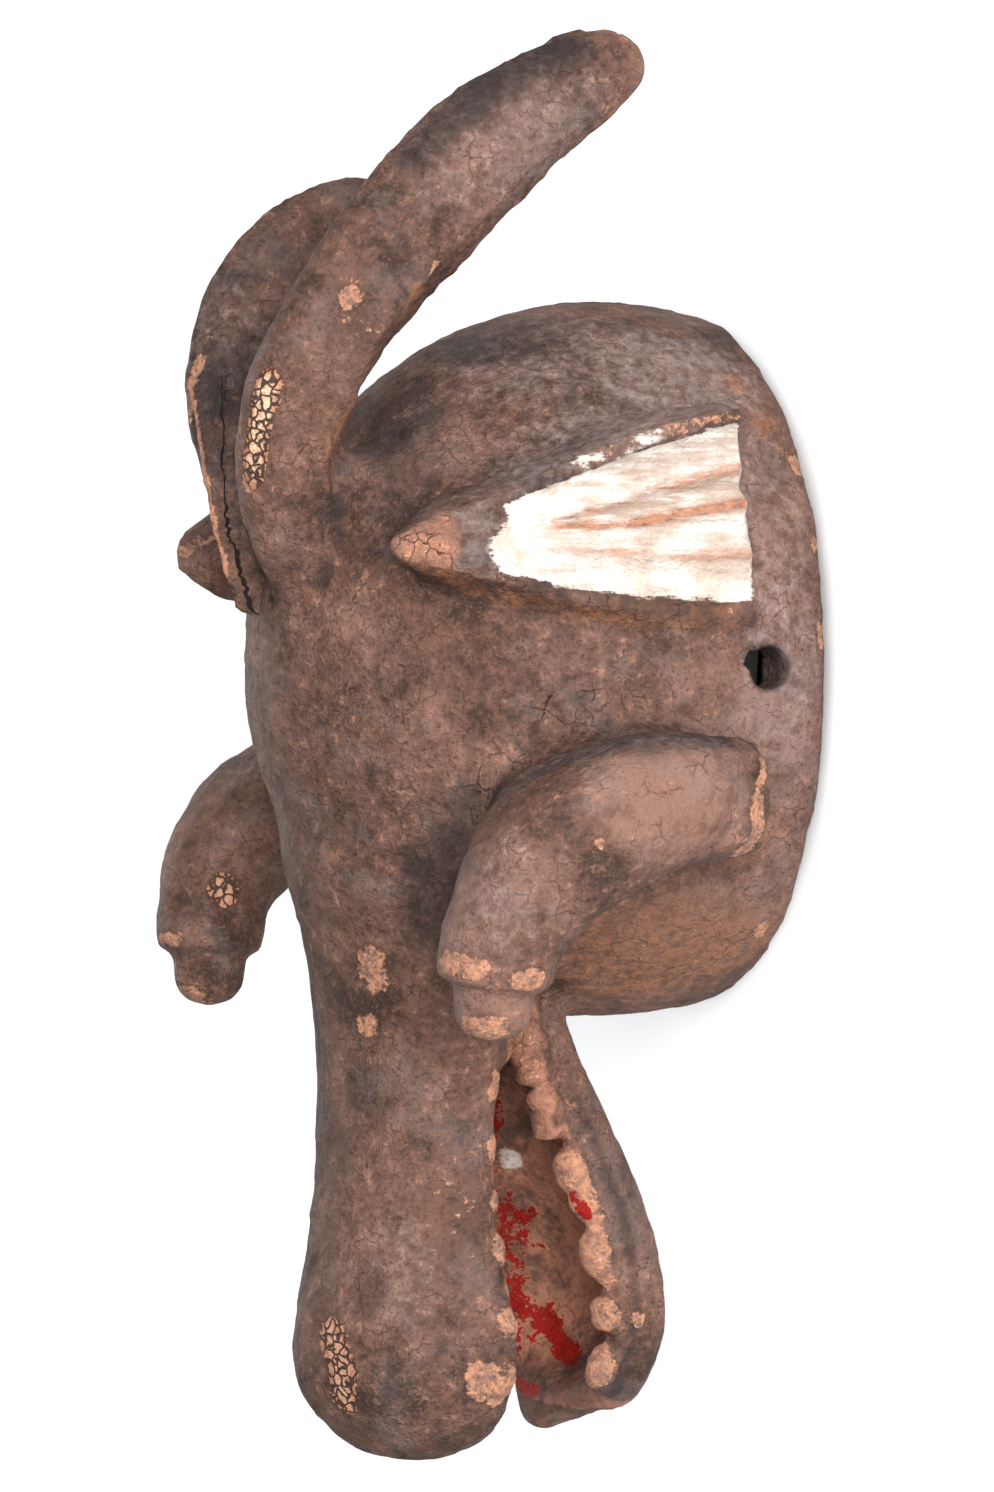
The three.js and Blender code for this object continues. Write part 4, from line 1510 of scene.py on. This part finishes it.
    def shape(self, skin: Skin) -> None:
        """Cuts the flats, flutes, knobs and the thin blade at the horns' roots.

        Args:
            skin: the surface.
        """
        for place in self.corners + self.cuts:
            place.work(skin)
        for horn in self.horns:
            horn.cut(skin)
        for ear in self.ears:
            ear.carve(skin)
        self.jaws.carve(skin)
        for lump in self.swellings:
            lump.work(skin)
        self.blade.work(skin)
        skin.normal = skin.normals()

    def dress(self, skin: Skin, grain: Grain) -> None:
        """Lays the finishes, bares the wood of the hollow and paints shade into the costume holes.

        Args:
            skin: the surface.
            grain: noise for streaks and patches.
        """
        for ear in self.ears:
            ear.colour(skin, grain)
        self.jaws.colour(skin, grain)
        self.wear.colour(skin)
        across, forward, up = skin.at.T
        place = np.stack([across, forward - self.hollow_middle, up], axis=1) / np.array(self.hollow)
        gone = np.linalg.norm(place, axis=1)
        outward = (skin.normal * place).sum(axis=1) / gone.clip(min=0.1)
        inside = soft(gone, 1.16, 1.08) * soft(outward, 0.1, -0.3)
        rim = soft(up, 2.5, 1.0) * soft(skin.normal[:, 2], -0.3, -0.7)
        skin.lay(Paint.RAW, np.maximum(inside, rim))
        # Painted shade inside the costume holes
        bore = np.hypot(forward - self.bore[0], up - self.bore[1])
        skin.lay(Paint.SOOT, soft(bore, *self.bore_edge) * soft(np.abs(across), 60.0, 70.0))

    def spare(self, skin: Skin) -> np.ndarray:
        """Finds where the surface can spare faces: most in the hollow, and least in marks and cracks.

        Args:
            skin: the surface.

        Returns:
            One share per place.
        """
        marked = sum(skin.paint[paint] for paint in (Paint.CRACK, Paint.KAOLIN, Paint.RED, Paint.CRACKLE))
        return np.where(skin.paint[Paint.RAW] > 0.6, 1.0, 0.5 - 0.4 * np.clip(marked, 0.0, 1.0))


@dataclass(frozen=True)
class Lamp:
    """A square soft light that looks at the mask.

    It hangs at an azimuth and elevation in degrees, counted as Studio.direction counts them, and a reach in
    metres, and has a side in metres, a power in watts and a tint.
    """

    name: str
    azimuth: float
    elevation: float
    reach: float
    side: float
    watts: float
    tint: Triple


@dataclass
class Studio:
    """The floor that the rim rests on, soft light and the camera over the mask's left side."""

    aim: Triple = (0.0, 32.0, 82.0)
    azimuth: float = 91.2
    elevation: float = 28.0
    distance: float = 1.9
    lens: float = 128.4
    sensor: float = 36.0
    floor_half: float = 6.0
    floor_colour: Triple = (0.6, 0.6, 0.6)
    floor_glow: Triple = (0.53, 0.55, 0.57)
    floor_rough: float = 0.9
    # One over the half breadth and half length of the painted shadow round the rim, where the floor's glow
    # fades out, per metre
    shade_reach: Triple = (10.3, 8.3, 0.0)
    shade_edge: Edge = (0.9, 1.06)
    sky: Triple = (0.94, 0.97, 1.0)
    sky_strength: float = 0.42
    lamps: tuple[Lamp, ...] = (
        Lamp("key", 98.0, 20.0, 2.2, 1.1, 78.0, (1.0, 0.97, 0.94)),
        Lamp("top", 130.0, 66.0, 2.4, 1.6, 16.0, (0.96, 0.98, 1.0)),
        Lamp("far", 262.0, 14.0, 2.4, 1.4, 32.0, (1.0, 0.98, 0.96)),
    )

    def floor(self) -> None:
        """Lays the pale glowing floor, with a painted shadow round the rim."""
        work = bmesh.new()
        bmesh.ops.create_grid(work, x_segments=1, y_segments=1, size=self.floor_half)
        mesh = bpy.data.meshes.new("floor")
        work.to_mesh(mesh)
        work.free()
        plain = Recipe("pale_floor")
        looks = {"Base Color": (*self.floor_colour, 1.0), "Roughness": self.floor_rough,
                 "Emission Color": (*self.floor_glow, 1.0), "Specular IOR Level": 0.0}
        for name, value in looks.items():
            plain.feed(plain.shader.inputs[name], value)
        step = plain.stretched(self.shade_reach, tuple(to_frame((0.0, 0.0, 0.0))))
        gone = plain.add("VectorMath", {0: step}, operation="LENGTH").outputs["Value"]
        # The glow fades to nothing under the rim, painting a soft shadow round it
        plain.feed(plain.shader.inputs["Emission Strength"], plain.rise(gone, *self.shade_edge))
        mesh.materials.append(plain.material)
        placed("floor", mesh)

    def hang(self, lamp: Lamp) -> None:
        """Hangs a lamp.

        Args:
            lamp: where and how it shines.
        """
        data = bpy.data.lights.new(lamp.name, "AREA")
        data.size = lamp.side
        data.energy = lamp.watts
        data.color = lamp.tint
        light = placed(lamp.name, data)
        back = self.direction(lamp.azimuth, lamp.elevation)
        light.location = to_frame(self.aim) + back * lamp.reach
        light.rotation_euler = back.to_track_quat("Z", "Y").to_euler()

    def direction(self, azimuth: float, elevation: float) -> Vector:
        """Gives the direction from the mask to a place round it.

        Args:
            azimuth: the turn from the front, in degrees.
            elevation: the height over the floor, in degrees.

        Returns:
            The direction in the frame.
        """
        turn = math.radians(azimuth)
        lift = math.radians(elevation)
        flat = math.cos(lift)
        return Vector((math.sin(turn) * flat, -math.cos(turn) * flat, math.sin(lift)))

    def camera(self) -> None:
        """Sets the camera, turned so that the snout points down the picture."""
        data = bpy.data.cameras.new("camera")
        data.lens = self.lens
        data.sensor_width = self.sensor
        camera = placed("camera", data)
        back = self.direction(self.azimuth, self.elevation)
        head = Vector((0.0, 1.0, 0.0))
        up = (head - back * head.dot(back)).normalized()
        right = up.cross(back)
        turn = Matrix((right, up, back)).transposed().to_4x4()
        camera.matrix_world = Matrix.Translation(to_frame(self.aim) + back * self.distance) @ turn
        bpy.context.scene.camera = camera

    def air(self) -> None:
        """Fills the room with even pale light."""
        world = bpy.data.worlds.new("room")
        world.use_nodes = True
        sky = world.node_tree.nodes["Background"]
        sky.inputs["Color"].default_value = (*self.sky, 1.0)
        sky.inputs["Strength"].default_value = self.sky_strength
        bpy.context.scene.world = world
        bpy.context.scene.view_settings.view_transform = "Standard"

    def build(self) -> None:
        """Sets the whole studio."""
        self.camera()
        self.floor()
        self.air()
        for lamp in self.lamps:
            self.hang(lamp)


def main() -> None:
    """Builds the studio and the mask."""
    Studio().build()
    log.info("studio set")
    carving = Mask().build()
    log.info("%s done", carving.name)


if __name__ == "__main__":
    main()
